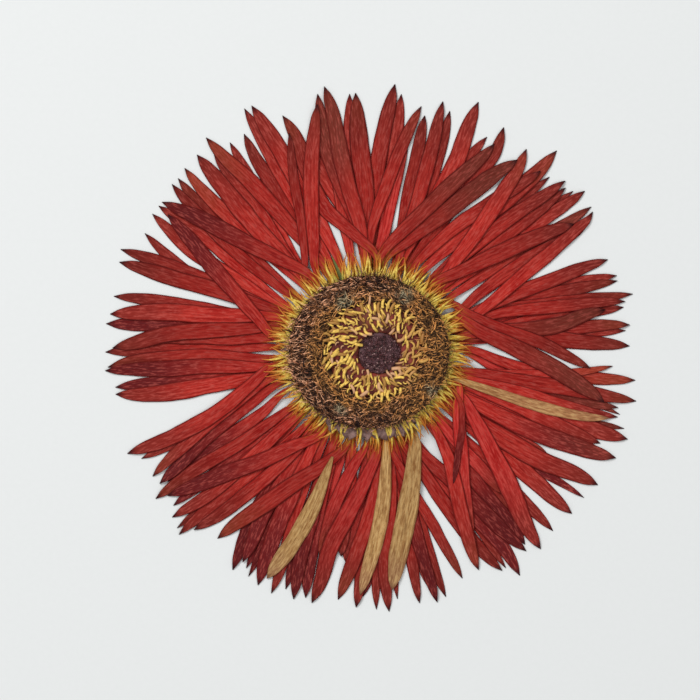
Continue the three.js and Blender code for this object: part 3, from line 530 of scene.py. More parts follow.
def put(tree, kind, options=None, values=None):
    """Adds a node, sets its options, and sets or links its inputs."""
    made = tree.nodes.new(kind)
    for key, value in (options or {}).items():
        setattr(made, key, value)
    for key, value in (values or {}).items():
        if isinstance(value, bpy.types.NodeSocket):
            tree.links.new(value, made.inputs[key])
        else:
            made.inputs[key].default_value = value
    return made


def math_node(tree, operation, a, b=0.0):
    """Result of a Math node."""
    return put(tree, "ShaderNodeMath", {"operation": operation}, {0: a, 1: b}).outputs[0]


def plus(tree, a, b):
    """Sum of two values."""
    return math_node(tree, "ADD", a, b)


def minus(tree, a, b):
    """Difference of two values."""
    return math_node(tree, "SUBTRACT", a, b)


def times(tree, a, b):
    """Product of two values."""
    return math_node(tree, "MULTIPLY", a, b)


def ease(tree, value, low, high, to_low=0.0, to_high=1.0):
    """Smooth step of a value from one range to another."""
    return put(tree, "ShaderNodeMapRange", {"interpolation_type": "SMOOTHSTEP"},
               {0: value, 1: low, 2: high, 3: to_low, 4: to_high}).outputs[0]


def blend(tree, share, a, b, kind="MIX"):
    """Mixture of two colours."""
    def colour(value):
        return value if isinstance(value, bpy.types.NodeSocket) else (*value[:3], 1.0)
    return put(tree, "ShaderNodeMix", {"data_type": "RGBA", "blend_type": kind},
               {0: share, 6: colour(a), 7: colour(b)}).outputs[2]


def scaled(colour, share):
    """Plain colour made darker or lighter."""
    return tuple(min(1.0, c * share) for c in colour)


def shaded(tree, colour, value):
    """Colour of a tree made darker or lighter."""
    return put(tree, "ShaderNodeHueSaturation", None, {"Value": value, "Color": colour}).outputs[0]


def named(tree, name):
    """Value of a point attribute."""
    return put(tree, "ShaderNodeAttribute", {"attribute_name": name}).outputs["Fac"]


def noise(tree, vector, scale, detail, rough, warp=0.0):
    """Value of a noise texture, from 0 to 1."""
    return put(tree, "ShaderNodeTexNoise", None, {"Vector": vector, "Scale": scale, "Detail": detail,
                                                  "Roughness": rough, "Distortion": warp}).outputs["Fac"]


def vector_of(tree, x, y, z):
    """Vector from three values."""
    return put(tree, "ShaderNodeCombineXYZ", None, {0: x, 1: y, 2: z}).outputs[0]


def part_of(tree, vector, axis):
    """One value of a vector, by its index."""
    return put(tree, "ShaderNodeSeparateXYZ", None, {0: vector}).outputs[axis]


def vector_sum(tree, a, b):
    """Sum of two vectors."""
    return put(tree, "ShaderNodeVectorMath", {"operation": "ADD"}, {0: a, 1: b}).outputs[0]


def distance(tree, a, b):
    """Distance between two places."""
    return put(tree, "ShaderNodeVectorMath", {"operation": "DISTANCE"}, {0: a, 1: b}).outputs["Value"]


def new_material(name):
    """Empty material, its node tree, the surface output and the object's own coordinates."""
    material = bpy.data.materials.new(name)
    material.use_nodes = True
    tree = material.node_tree
    tree.nodes.clear()
    output = put(tree, "ShaderNodeOutputMaterial")
    coordinates = put(tree, "ShaderNodeTexCoord").outputs["Object"]
    return material, tree, output, coordinates


def dress(tree, output, colour, roughness, bump, strength, depth, glow=None, share=0.0, specular=0.3):
    """Ends a material in a matt surface, with light passing through where glow gives its colour."""
    normal = put(tree, "ShaderNodeBump", None, {"Strength": strength, "Distance": depth, "Height": bump}).outputs[0]
    surface = put(tree, "ShaderNodeBsdfPrincipled", None, {
        "Base Color": colour, "Roughness": roughness, "Specular IOR Level": specular, "Normal": normal}).outputs[0]
    if glow is not None:
        through_light = put(tree, "ShaderNodeBsdfTranslucent", None, {"Color": glow}).outputs[0]
        surface = put(tree, "ShaderNodeMixShader", None, {0: share, 1: surface, 2: through_light}).outputs[0]
    tree.links.new(surface, output.inputs["Surface"])


def floret_material(finish, settings):
    """Dried ray floret: streaks and veins along it, dark margins and tip, and a golden claw. The dark margins are
    partly painted edge shadow.
    """
    material, tree, output, where = new_material(f"dried floret {finish}")
    along, across = named(tree, "along"), named(tree, "across")
    radius, tone = named(tree, "radius_mm"), named(tree, "tone")
    run, side = named(tree, "run_mm"), named(tree, "side_mm")
    seed = times(tree, tone, 60.0)
    faded = finish == "tan"

    def lengthwise(fine_across, fine_along, detail=3.0):
        """Noise drawn out along the blade, different for each blade."""
        space = vector_of(tree, times(tree, side, fine_across), times(tree, run, fine_along), seed)
        return noise(tree, space, 1.0, detail, 0.6)

    streaks = lengthwise(2.6, 0.16, 4.0)
    patches = lengthwise(0.45, 0.16)
    mottle = lengthwise(3.2, 0.55)
    fine = lengthwise(11.0, 0.5, 2.0)
    grain = noise(tree, where, 5200.0, 2.0, 0.6)

    if faded:
        body, deep, shadow = tuple(settings.tan), (0.44, 0.20, 0.060), (0.24, 0.095, 0.030)
        pale, fleck = (0.80, 0.50, 0.20), (0.90, 0.62, 0.27)
        # edge colour: partly the blade's own dark margin, partly painted shadow along its edges
        margin_and_edge_shadow, tip_colour, orange = (0.32, 0.13, 0.05), (0.20, 0.07, 0.04), (0.60, 0.21, 0.035)
    else:
        body = tuple(settings.bright if finish == "bright" else settings.red)
        deep = (body[0] * 0.70, body[1] * 0.30, body[2] * 0.30)
        shadow = (body[0] * 0.36, body[1] * 0.15, body[2] * 0.15)
        pale, fleck = (body[0] * 1.12, body[1] * 1.7 + 0.010, body[2] * 1.6 + 0.010), (body[0] * 1.08, 0.115, 0.090)
        # edge colour: partly the blade's own dark margin, partly painted shadow along its edges
        margin_and_edge_shadow, tip_colour, orange = (0.125, 0.005, 0.004), tuple(settings.tip), (0.58, 0.13, 0.022)
    colour = blend(tree, ease(tree, streaks, 0.34, 0.66), deep, pale)
    colour = blend(tree, ease(tree, patches, 0.35, 0.7, 0.0, 0.4), colour, body)
    colour = blend(tree, ease(tree, patches, 0.42, 0.30, 0.0, 0.55), colour, deep)

    # the outer part of a blade is browner, and in some florets maroon or rusty
    outward = plus(tree, along, times(tree, patches, 0.24))
    if faded:
        colour = blend(tree, ease(tree, outward, 0.16, 0.42, 0.6, 0.0), colour, (0.46, 0.225, 0.125))
        far_right = ease(tree, part_of(tree, where, 0), float(CENTRE[0]) + 14 * MM, float(CENTRE[0]) + 34 * MM,
                         0.0, 0.6)
        colour = blend(tree, far_right, colour, (0.55, 0.22, 0.105))
    elif finish == "dark":
        diagonal = plus(tree, part_of(tree, where, 0), part_of(tree, where, 1))
        back_right = ease(tree, diagonal, float(CENTRE.sum()) + 12 * MM, float(CENTRE.sum()) + 40 * MM)
        withered = blend(tree, back_right, tuple(settings.dark), (0.200, 0.042, 0.026))
        colour = blend(tree, ease(tree, outward, 0.30, 0.90, 0.94, 0.0), colour, withered)
    elif finish == "rust":
        colour = blend(tree, ease(tree, outward, 0.16, 0.52, 0.85, 0.0), colour, tuple(settings.rust))
    else:
        colour = blend(tree, ease(tree, outward, 0.14, 0.66, 0.80, 0.0), colour, (0.180, 0.026, 0.018))
        rusty = ease(tree, math_node(tree, "FRACT", times(tree, tone, 7.31)), 0.55, 0.9)
        rusty = times(tree, rusty, ease(tree, outward, 0.16, 0.36, 0.55, 0.0))
        colour = blend(tree, rusty, colour, tuple(settings.rust))

    # fine lengthwise veins and flecks
    wave = math_node(tree, "SINE", plus(tree, times(tree, across, 14.0), times(tree, streaks, 5.0)))
    veins = ease(tree, wave, 0.35, 1.0)
    colour = blend(tree, times(tree, veins, 0.24), colour, shadow)
    colour = blend(tree, ease(tree, mottle, 0.50, 0.70, 0.0, 0.6 if faded else 0.36), colour, shadow)
    colour = blend(tree, ease(tree, mottle, 0.52, 0.34, 0.0, 0.5), colour, fleck)
    colour = blend(tree, ease(tree, fine, 0.56, 0.8, 0.0, 0.4), colour, shadow)
    colour = blend(tree, ease(tree, grain, 0.55, 0.85, 0.0, 0.45), colour, shadow)

    # over other blades less light comes back through
    if not faded:
        over = ease(tree, named(tree, "beneath"), 0.0, 2.6, 0.0, 0.15)
        colour = blend(tree, over, colour, scaled(body, 0.5))

    # dark, slightly ragged margins and tip; the margin darkening is partly the blade's own dark edge and partly
    # painted shadow along the edges
    edge = plus(tree, math_node(tree, "ABSOLUTE", across), times(tree, fine, 0.10))
    colour = blend(tree, ease(tree, edge, 0.83, 1.0, 0.0, 0.5 if faded else 0.85), colour, margin_and_edge_shadow)
    tip = plus(tree, along, times(tree, streaks, 0.03))
    colour = blend(tree, ease(tree, tip, 0.020, 0.070, 0.75 if faded else 0.92, 0.0), colour, tip_colour)

    # golden claw
    stripes = math_node(tree, "SINE", plus(tree, times(tree, side, 7.0), times(tree, streaks, 16.0)))
    foot = plus(tree, radius, times(tree, streaks, 3.0))
    foot = minus(tree, foot, ease(tree, stripes, 0.0, 0.9, 0.0, 2.8))
    colour = blend(tree, ease(tree, foot, 18.9, 22.7, 0.9, 0.0), colour, orange)
    colour = blend(tree, ease(tree, foot, 17.6, 20.2, 1.0, 0.0), colour, tuple(settings.claw))

    colour = shaded(tree, colour, plus(tree, 0.82, times(tree, tone, 0.40)))
    glow = blend(tree, 1.0, colour, (1.0, 0.72, 0.66), "MULTIPLY")
    relief = plus(tree, times(tree, fine, 0.6), times(tree, veins, -0.5))
    relief = plus(tree, relief, times(tree, grain, 0.35))
    dress(tree, output, colour, ease(tree, streaks, 0.3, 0.7, 0.6, 0.8), relief, 0.45, 0.06 * MM, glow, 0.26, 0.12)
    return material


def fluffy(tree, where):
    """Share of the pale fluff at a place, from the list of fluffy spots."""
    spread = noise(tree, where, 700.0, 3.0, 0.6)
    total = None
    for azimuth, reach, size in FLUFFS:
        turn = math.radians(azimuth)
        spot = (CENTRE[0] + reach * MM * math.cos(turn), CENTRE[1] + reach * MM * math.sin(turn), RING_TOP)
        ragged = plus(tree, distance(tree, where, spot), times(tree, spread, 3.2 * size * MM))
        share = ease(tree, ragged, 1.7 * size * MM, 3.1 * size * MM, 1.0, 0.0)
        total = share if total is None else math_node(tree, "MAXIMUM", total, share)
    return total


def olive_side(tree, where):
    """Share of the olive fuzz: the inner part of the ring, and its right side."""
    x = minus(tree, part_of(tree, where, 0), float(CENTRE[0]))
    y = minus(tree, part_of(tree, where, 1), float(CENTRE[1]))
    radius = math_node(tree, "SQRT", plus(tree, times(tree, x, x), times(tree, y, y)))
    drift = times(tree, noise(tree, where, 330.0, 3.0, 0.6), 5 * MM)
    inside = ease(tree, plus(tree, radius, drift), 13.6 * MM, 17.0 * MM, 1.0, 0.0)
    right = ease(tree, plus(tree, x, drift), 4 * MM, 13 * MM)
    return math_node(tree, "MAXIMUM", inside, right)


def bristle_material(name, dark, pale, olive, light_from, most):
    """Fuzz of the disc: each bristle has its own tone, and tufts differ from place to place. Shade is painted on the
    bristles, at their roots and in dark gaps between tufts.

    Bristles turn from dark to pale above the tone light_from, by the share most.
    """
    material, tree, output, where = new_material(name)
    tone, along = named(tree, "tone"), named(tree, "along")
    tufts = noise(tree, where, 420.0, 3.0, 0.6)
    pick = ease(tree, plus(tree, tone, times(tree, tufts, 0.9)), light_from, light_from + 0.3)
    colour = blend(tree, times(tree, pick, most), dark, pale)
    green = blend(tree, pick, scaled(olive, 0.16), scaled(olive, 1.5))
    colour = blend(tree, times(tree, olive_side(tree, where), 0.9), colour, green)
    downy = times(tree, fluffy(tree, where), ease(tree, tone, 0.25, 0.5, 0.15, 0.9))
    colour = blend(tree, downy, colour, (0.46, 0.42, 0.27))
    # lighter clumps with dark gaps between them: the clumps are the bristles' own tone, the dark gaps are painted
    # shade
    colour = shaded(tree, colour, ease(tree, noise(tree, where, 1300.0, 2.0, 0.5), 0.36, 0.56, 0.28, 1.25))
    # painted shade: each bristle darkens toward its root, deep in the fuzz
    colour = blend(tree, ease(tree, along, 0.0, 0.45, 0.7, 0.0), colour, scaled(dark, 0.4))
    speck = noise(tree, where, 2600.0, 2.0, 0.6)
    dress(tree, output, colour, ease(tree, speck, 0.3, 0.7, 0.5, 0.75), speck, 0.3, 0.03 * MM)
    return material


def anther_material(settings):
    """Golden, crinkled, with brown ends; some are faded pink, most of them beside the eye. Painted shade darkens
    them lower down.
    """
    material, tree, output, where = new_material("golden anthers")
    tone, along = named(tree, "tone"), named(tree, "along")
    crinkle = noise(tree, where, 1700.0, 3.0, 0.6)
    gold = tuple(settings.gold)
    colour = blend(tree, ease(tree, crinkle, 0.3, 0.7), scaled(gold, 0.66), scaled(gold, 1.2))

    # pink beside the eye, tan on the right, and the odd brown one
    beside_eye = (float(EYE_CENTRE[0]) + 1.2 * MM, float(EYE_CENTRE[1]), ANTHER_TOP)
    odd = plus(tree, tone, ease(tree, distance(tree, where, beside_eye), 4.2 * MM, 7.0 * MM, 0.42, 0.0))
    colour = blend(tree, ease(tree, odd, 0.80, 0.96, 0.0, 0.85), colour, (0.60, 0.31, 0.19))
    right = minus(tree, part_of(tree, where, 0), float(EYE_CENTRE[0]))
    right = plus(tree, right, times(tree, tone, 5 * MM))
    colour = blend(tree, ease(tree, right, 7 * MM, 10.5 * MM, 0.0, 0.8), colour, (0.50, 0.25, 0.065))
    colour = blend(tree, ease(tree, tone, 0.32, 0.16, 0.0, 0.8), colour, (0.30, 0.115, 0.028))

    # painted shade: darker the lower a point lies in the crown, a little lighter at the top
    depth = ease(tree, part_of(tree, where, 2), ANTHER_TOP - 1.0 * MM, ANTHER_TOP - 0.35 * MM, 0.35, 1.08)
    colour = shaded(tree, colour, depth)
    ends = math_node(tree, "ABSOLUTE", minus(tree, along, 0.5))
    colour = blend(tree, ease(tree, ends, 0.40, 0.5, 0.0, 0.6), colour, (0.26, 0.10, 0.02))
    dress(tree, output, colour, ease(tree, crinkle, 0.3, 0.7, 0.45, 0.65), crinkle, 0.5, 0.08 * MM)
    return material


def needle_material():
    """Golden yellow foot that turns orange and red outward, with painted shade at its root under the disc."""
    material, tree, output, where = new_material("golden claws")
    tone, along = named(tree, "tone"), named(tree, "along")
    streaks = noise(tree, where, 1500.0, 3.0, 0.6)
    colour = blend(tree, ease(tree, streaks, 0.3, 0.7), (0.72, 0.42, 0.030), (1.0, 0.80, 0.18))
    colour = blend(tree, ease(tree, tone, 0.80, 0.90, 0.0, 0.6), colour, (0.38, 0.42, 0.05))
    turn = plus(tree, along, times(tree, tone, 0.45))
    colour = blend(tree, ease(tree, turn, 0.60, 1.05, 0.0, 0.9), colour, (0.68, 0.18, 0.02))
    # painted shade: dark brown at the root, where it lies under the disc
    colour = blend(tree, ease(tree, along, 0.0, 0.16, 0.65, 0.0), colour, (0.17, 0.09, 0.02))
    dress(tree, output, colour, ease(tree, streaks, 0.3, 0.7, 0.45, 0.65), streaks, 0.4, 0.05 * MM, colour, 0.22)
    return material


def bud_material(settings):
    """Purple-black buds with a dusty bloom."""
    material, tree, output, where = new_material("plum buds")
    tone = named(tree, "tone")
    dust = noise(tree, where, 2300.0, 3.0, 0.65)
    patches = noise(tree, where, 900.0, 2.0, 0.5)
    plum = tuple(settings.plum)
    colour = blend(tree, ease(tree, dust, 0.35, 0.7), scaled(plum, 0.22), scaled(plum, 2.0))
    colour = blend(tree, ease(tree, tone, 0.86, 1.0, 0.0, 0.85), colour, (0.50, 0.30, 0.28))
    colour = blend(tree, ease(tree, patches, 0.46, 0.62, 0.0, 0.6), colour, (0.16, 0.075, 0.085))
    dress(tree, output, colour, ease(tree, dust, 0.3, 0.7, 0.45, 0.8), dust, 0.5, 0.05 * MM)
    return material


def cushion_material(name, dark, light, patch):
    """Dark tissue seen between the bristles, anthers and buds."""
    material, tree, output, where = new_material(name)
    clumps = noise(tree, where, 420.0, 4.0, 0.65)
    grain = noise(tree, where, 2600.0, 3.0, 0.65)
    moss = noise(tree, where, 150.0, 2.0, 0.5)
    colour = blend(tree, ease(tree, clumps, 0.35, 0.7), dark, light)
    colour = blend(tree, ease(tree, moss, 0.5, 0.7, 0.0, 0.5), colour, patch)
    height = plus(tree, clumps, times(tree, grain, 0.4))
    dress(tree, output, colour, ease(tree, grain, 0.3, 0.7, 0.6, 0.9), height, 0.7, 0.2 * MM)
    return material


def bract_material(settings):
    """Papery green bract, brown at its tip and edges, with a pale keel; browner or greener by its tone."""
    material, tree, output, where = new_material("dried bracts")
    along, tone = named(tree, "along"), named(tree, "tone")
    run, side = named(tree, "run_mm"), named(tree, "side_mm")
    outward = math_node(tree, "ABSOLUTE", named(tree, "across"))
    green, brown = tuple(settings.green), tuple(settings.brown)
    space = vector_of(tree, times(tree, side, 4.0), times(tree, run, 0.4), times(tree, tone, 40.0))
    streaks = noise(tree, space, 1.0, 3.0, 0.6)
    colour = blend(tree, ease(tree, streaks, 0.3, 0.7), scaled(green, 0.6), scaled(green, 1.5))
    colour = blend(tree, ease(tree, along, 0.0, 0.35, 0.9, 0.0), colour, brown)
    colour = blend(tree, ease(tree, outward, 0.6, 1.0, 0.0, 0.75), colour, brown)
    colour = blend(tree, ease(tree, outward, 0.0, 0.16, 0.5, 0.0), colour, (0.28, 0.26, 0.10))
    colour = blend(tree, ease(tree, tone, 0.5, 1.0, 0.0, 0.6), colour, scaled(brown, 1.4))
    colour = blend(tree, ease(tree, tone, 0.08, 0.02, 0.0, 0.75), colour, (0.27, 0.33, 0.10))
    hair = noise(tree, where, 3200.0, 2.0, 0.6)
    relief = plus(tree, streaks, times(tree, hair, 0.4))
    dress(tree, output, colour, ease(tree, hair, 0.3, 0.7, 0.6, 0.85), relief, 0.5, 0.08 * MM, colour, 0.18)
    return material


def scale_material():
    """Thin grey-mauve papery scale."""
    material, tree, output, where = new_material("papery scales")
    outward = math_node(tree, "ABSOLUTE", named(tree, "across"))
    crumple = noise(tree, where, 900.0, 4.0, 0.6)
    colour = blend(tree, ease(tree, crumple, 0.3, 0.7), (0.19, 0.095, 0.080), (0.46, 0.28, 0.245))
    colour = blend(tree, ease(tree, outward, 0.7, 1.0, 0.0, 0.5), colour, (0.10, 0.05, 0.045))
    colour = blend(tree, ease(tree, named(tree, "along"), 0.0, 0.2, 0.4, 0.0), colour, (0.16, 0.08, 0.06))
    dress(tree, output, colour, ease(tree, crumple, 0.3, 0.7, 0.5, 0.7), crumple, 0.5, 0.1 * MM, colour, 0.3)
    return material


def wood_material(name, dark, light):
    """Fibrous cut tissue."""
    material, tree, output, where = new_material(name)
    fibres = noise(tree, where, 1400.0, 4.0, 0.7, 0.6)
    pits = put(tree, "ShaderNodeTexVoronoi", None, {"Vector": where, "Scale": 2600.0}).outputs["Distance"]
    colour = blend(tree, ease(tree, fibres, 0.3, 0.7), dark, light)
    colour = blend(tree, ease(tree, pits, 0.0, 0.35, 0.7, 0.0), colour, scaled(dark, 0.35))
    dress(tree, output, colour, ease(tree, fibres, 0.3, 0.7, 0.7, 0.9), pits, 0.6, 0.08 * MM)
    return material


def floor_material(settings):
    """Plain pale paper."""
    material, tree, output, where = new_material("pale floor")
    tooth = noise(tree, where, 900.0, 3.0, 0.6)
    floor = tuple(settings.floor)
    colour = blend(tree, ease(tree, tooth, 0.3, 0.7), scaled(floor, 0.99), floor)
    dress(tree, output, colour, 0.85, tooth, 0.05, 0.02 * MM, specular=0.1)
    return material


# ---------------------------------------------------------------- geometry nodes

def node_tree(name, inputs):
    """Geometry node tree with a geometry input and output, and the named inputs given as (name, kind)."""
    tree = bpy.data.node_groups.new(name, "GeometryNodeTree")
    tree.interface.new_socket("Geometry", in_out="INPUT", socket_type="NodeSocketGeometry")
    tree.interface.new_socket("Geometry", in_out="OUTPUT", socket_type="NodeSocketGeometry")
    for label, kind in inputs:
        tree.interface.new_socket(label, in_out="INPUT", socket_type=f"NodeSocket{kind}")
    start = put(tree, "NodeGroupInput")
    end = put(tree, "NodeGroupOutput")
    return tree, start, end


def grow(name, carrier, tree, values):
    """Runs a tree on a carrier mesh, and returns the result as a plain mesh object. The carrier goes."""
    modifier = carrier.modifiers.new("growth", "NODES")
    modifier.node_group = tree
    sockets = {item.name: item.identifier for item in tree.interface.items_tree if item.in_out == "INPUT"}
    for label, value in values.items():
        modifier[sockets[label]] = value
    carrier.update_tag()
    bpy.context.view_layer.update()
    graph = bpy.context.evaluated_depsgraph_get()
    mesh = bpy.data.meshes.new_from_object(carrier.evaluated_get(graph))
    mesh.name = name
    bpy.data.objects.remove(carrier)
    bpy.data.node_groups.remove(tree)
    if len(mesh.polygons) == 0:
        raise RuntimeError(f"{name} came out empty")
    mesh.polygons.foreach_set("use_smooth", [True] * len(mesh.polygons))
    mesh.polygons.foreach_set("material_index", [0] * len(mesh.polygons))
    piece = bpy.data.objects.new(name, mesh)
    bpy.context.scene.collection.objects.link(piece)
    return piece


def random_value(tree, low, high, salt, vector=False):
    """Random value for each point or instance, with a fixed seed."""
    kind = "FLOAT_VECTOR" if vector else "FLOAT"
    made = put(tree, "FunctionNodeRandomValue", {"data_type": kind})
    made.inputs["Seed"].default_value = salt
    if vector:
        made.inputs[0].default_value, made.inputs[1].default_value = low, high
        return made.outputs[0]
    made.inputs[2].default_value, made.inputs[3].default_value = low, high
    return made.outputs[1]


def thread(tree, start, bend, end, steps, thickness, flatness, sides, tip_share):
    """One unit of a thin curved thing along a bent line, thick in its middle, as an instance."""
    line = put(tree, "GeometryNodeCurveQuadraticBezier", None,
               {"Resolution": steps, "Start": start, "Middle": bend, "End": end}).outputs[0]
    share = put(tree, "GeometryNodeSplineParameter").outputs["Factor"]
    line = put(tree, "GeometryNodeStoreNamedAttribute", {"data_type": "FLOAT", "domain": "POINT"},
               {"Geometry": line, "Name": "along", "Value": share}).outputs[0]
    swell = ease(tree, share, 0.45, 1.0, 1.0, tip_share)
    line = put(tree, "GeometryNodeSetCurveRadius", None, {"Curve": line, "Radius": swell}).outputs[0]
    ring = put(tree, "GeometryNodeCurvePrimitiveCircle", {"mode": "RADIUS"},
               {"Resolution": sides, "Radius": thickness}).outputs[0]
    ring = put(tree, "GeometryNodeTransform", None, {"Geometry": ring, "Scale": (1.0, flatness, 1.0)}).outputs[0]
    body = put(tree, "GeometryNodeCurveToMesh", None, {"Curve": line, "Profile Curve": ring, "Fill Caps": True})
    for socket in body.inputs:
        if socket.name == "Scale":
            tree.links.new(swell, socket)
    return put(tree, "GeometryNodeGeometryToInstance", None, {0: body.outputs[0]}).outputs[0]


def plant(tree, start, end, points, shapes, turn, size):
    """Puts the shapes on the points, each turned, sized and toned by chance, and ends the tree."""
    joined = put(tree, "GeometryNodeJoinGeometry")
    for shape in reversed(shapes):
        tree.links.new(shape, joined.inputs[0])
    placed = put(tree, "GeometryNodeInstanceOnPoints", None,
                 {"Points": points, "Instance": joined.outputs[0], "Pick Instance": True, "Rotation": turn,
                  "Scale": size}).outputs[0]
    placed = put(tree, "GeometryNodeStoreNamedAttribute", {"data_type": "FLOAT", "domain": "INSTANCE"},
                 {"Geometry": placed, "Name": "tone", "Value": random_value(tree, 0.0, 1.0, 91)}).outputs[0]
    real = put(tree, "GeometryNodeRealizeInstances", None, {"Geometry": placed}).outputs[0]
    real = put(tree, "GeometryNodeSetMaterial", None,
               {"Geometry": real, "Material": start.outputs["Material"]}).outputs[0]
    tree.links.new(real, end.inputs[0])


def scattered_tree(name, shapes_of, tilt, spread, radial=1.0, turned=0.0, swing=(0.0, 0.0)):
    """Tree that scatters shapes over a carrier.

    A shape heads away from the middle where radial is 1, and one way everywhere where it is 0. It is turned by a
    fixed angle, by a swing that follows the sine and cosine of twice the azimuth, and by chance within the spread.
    Its tilt is a random angle in the given range.
    """
    tree, start, end = node_tree(name, [("Density", "Float"), ("Spacing", "Float"), ("Length", "Float"),
                                        ("Centre", "Vector"), ("Seed", "Int"), ("Material", "Material")])
    points = put(tree, "GeometryNodeDistributePointsOnFaces", {"distribute_method": "POISSON"},
                 {"Mesh": start.outputs["Geometry"], "Distance Min": start.outputs["Spacing"],
                  "Density Max": start.outputs["Density"], "Seed": start.outputs["Seed"]}).outputs["Points"]
    place = put(tree, "GeometryNodeInputPosition").outputs[0]
    out = put(tree, "ShaderNodeVectorMath", {"operation": "SUBTRACT"},
              {0: place, 1: start.outputs["Centre"]}).outputs[0]
    azimuth = math_node(tree, "ARCTAN2", part_of(tree, out, 1), part_of(tree, out, 0))
    double = times(tree, azimuth, 2.0)
    heading = plus(tree, times(tree, azimuth, radial), turned)
    heading = plus(tree, heading, times(tree, math_node(tree, "SINE", double), swing[0]))
    heading = plus(tree, heading, times(tree, math_node(tree, "COSINE", double), swing[1]))
    heading = plus(tree, heading, random_value(tree, -spread, spread, 17))
    turn = vector_of(tree, random_value(tree, -0.5, 0.5, 29), random_value(tree, *tilt, 23), heading)
    size = times(tree, start.outputs["Length"], random_value(tree, 0.5, 1.4, 31))
    plant(tree, start, end, points, shapes_of(tree), turn, size)
    return tree


def annulus(name, inner, outer, hub, rim, z_in, z_out, around=72, steps=10, bulge=0.0):
    """Open carrier surface between two rings that need not share a centre."""
    share = np.linspace(0, 1, steps)
    angle = np.linspace(0, 2 * math.pi, around, endpoint=False)
    radius = inner + (outer - inner) * share
    middle_at = np.asarray(hub) + (np.asarray(rim) - np.asarray(hub)) * share[:, None]
    x = middle_at[:, 0, None] + radius[:, None] * np.cos(angle)
    y = middle_at[:, 1, None] + radius[:, None] * np.sin(angle) * (1 + (RING_OVAL - 1) * share[:, None])
    z = (z_in + (z_out - z_in) * share + bulge * np.sin(share * math.pi))[:, None] + 0 * x
    faces = []
    for r in range(steps - 1):
        for c in range(around):
            a, b = r * around + c, r * around + (c + 1) % around
            faces.append((a, a + around, b + around, b))
    return new_object(name, np.stack([x, y, z], axis=2).reshape(-1, 3), faces)


def turned_ring(name, profile, hub, rim, around, bump, seed, oval=1.0):
    """Closed solid of revolution from a closed profile of radius and height, with lumps on it."""
    profile = np.asarray(profile, float)
    rng = np.random.default_rng(seed)
    angle = np.linspace(0, 2 * math.pi, around, endpoint=False)
    low, high = profile[:, 0].min(), profile[:, 0].max()
    share = (profile[:, 0] - low) / (high - low)
    middle_at = np.asarray(hub) + (np.asarray(rim) - np.asarray(hub)) * share[:, None]
    lumps = np.zeros((len(profile), around))
    for _ in range(16):
        waves, rows, phase = rng.integers(5, 44), rng.uniform(0.5, 3.5), rng.uniform(0, 6.3, 2)
        lumps += np.sin(angle * waves + phase[0])[None, :] * np.sin(share * rows * 6.3 + phase[1])[:, None] / 8
    z = profile[:, 1, None] + lumps * bump * (profile[:, 1, None] > profile[:, 1].min() + 1e-6)
    reach = profile[:, 0, None] + 0 * z
    x = middle_at[:, 0, None] + reach * np.cos(angle)
    y = middle_at[:, 1, None] + reach * np.sin(angle) * (1 + (oval - 1) * share[:, None])
    faces = []
    rows = len(profile)
    for r in range(rows):
        for c in range(around):
            a, b = r * around + c, r * around + (c + 1) % around
            d = (r + 1) % rows * around
            faces.append((a, b, d + (c + 1) % around, d + c))
    return new_object(name, np.stack([x, y, z], axis=2).reshape(-1, 3), faces)


# ---------------------------------------------------------------- operators

class GERBERA_OT_ray_florets(Operator):
    """Drape every ray floret over those below it"""

    bl_idname = "gerbera.ray_florets"
    bl_label = "Ray florets"

    def execute(self, context):
        settings = context.scene.gerbera_florets
        slots = {part["node"]: part["material_slot"] for part in frame["record"]["subparts"]}
        materials = {finish: floret_material(finish, settings) for finish in FINISHES}
        florets = [f for node in sorted(frame["nodes"]) if node.startswith("ray_") for f in outlines(node)]
        florets.sort(key=layer_of)
        heights = HeightMap()
        counts = {}
        for floret in florets:
            node = floret["node"]
            counts[node] = counts.get(node, 0) + 1
            finish = finish_of(floret, slots)
            name = node + "_blade" if node.startswith("ray_floret") else f"{node}_blade_{counts[node]:02d}"
            piece = build_floret(name, floret, heights, settings)
            keep(piece, materials[finish], node)
        return {"FINISHED"}


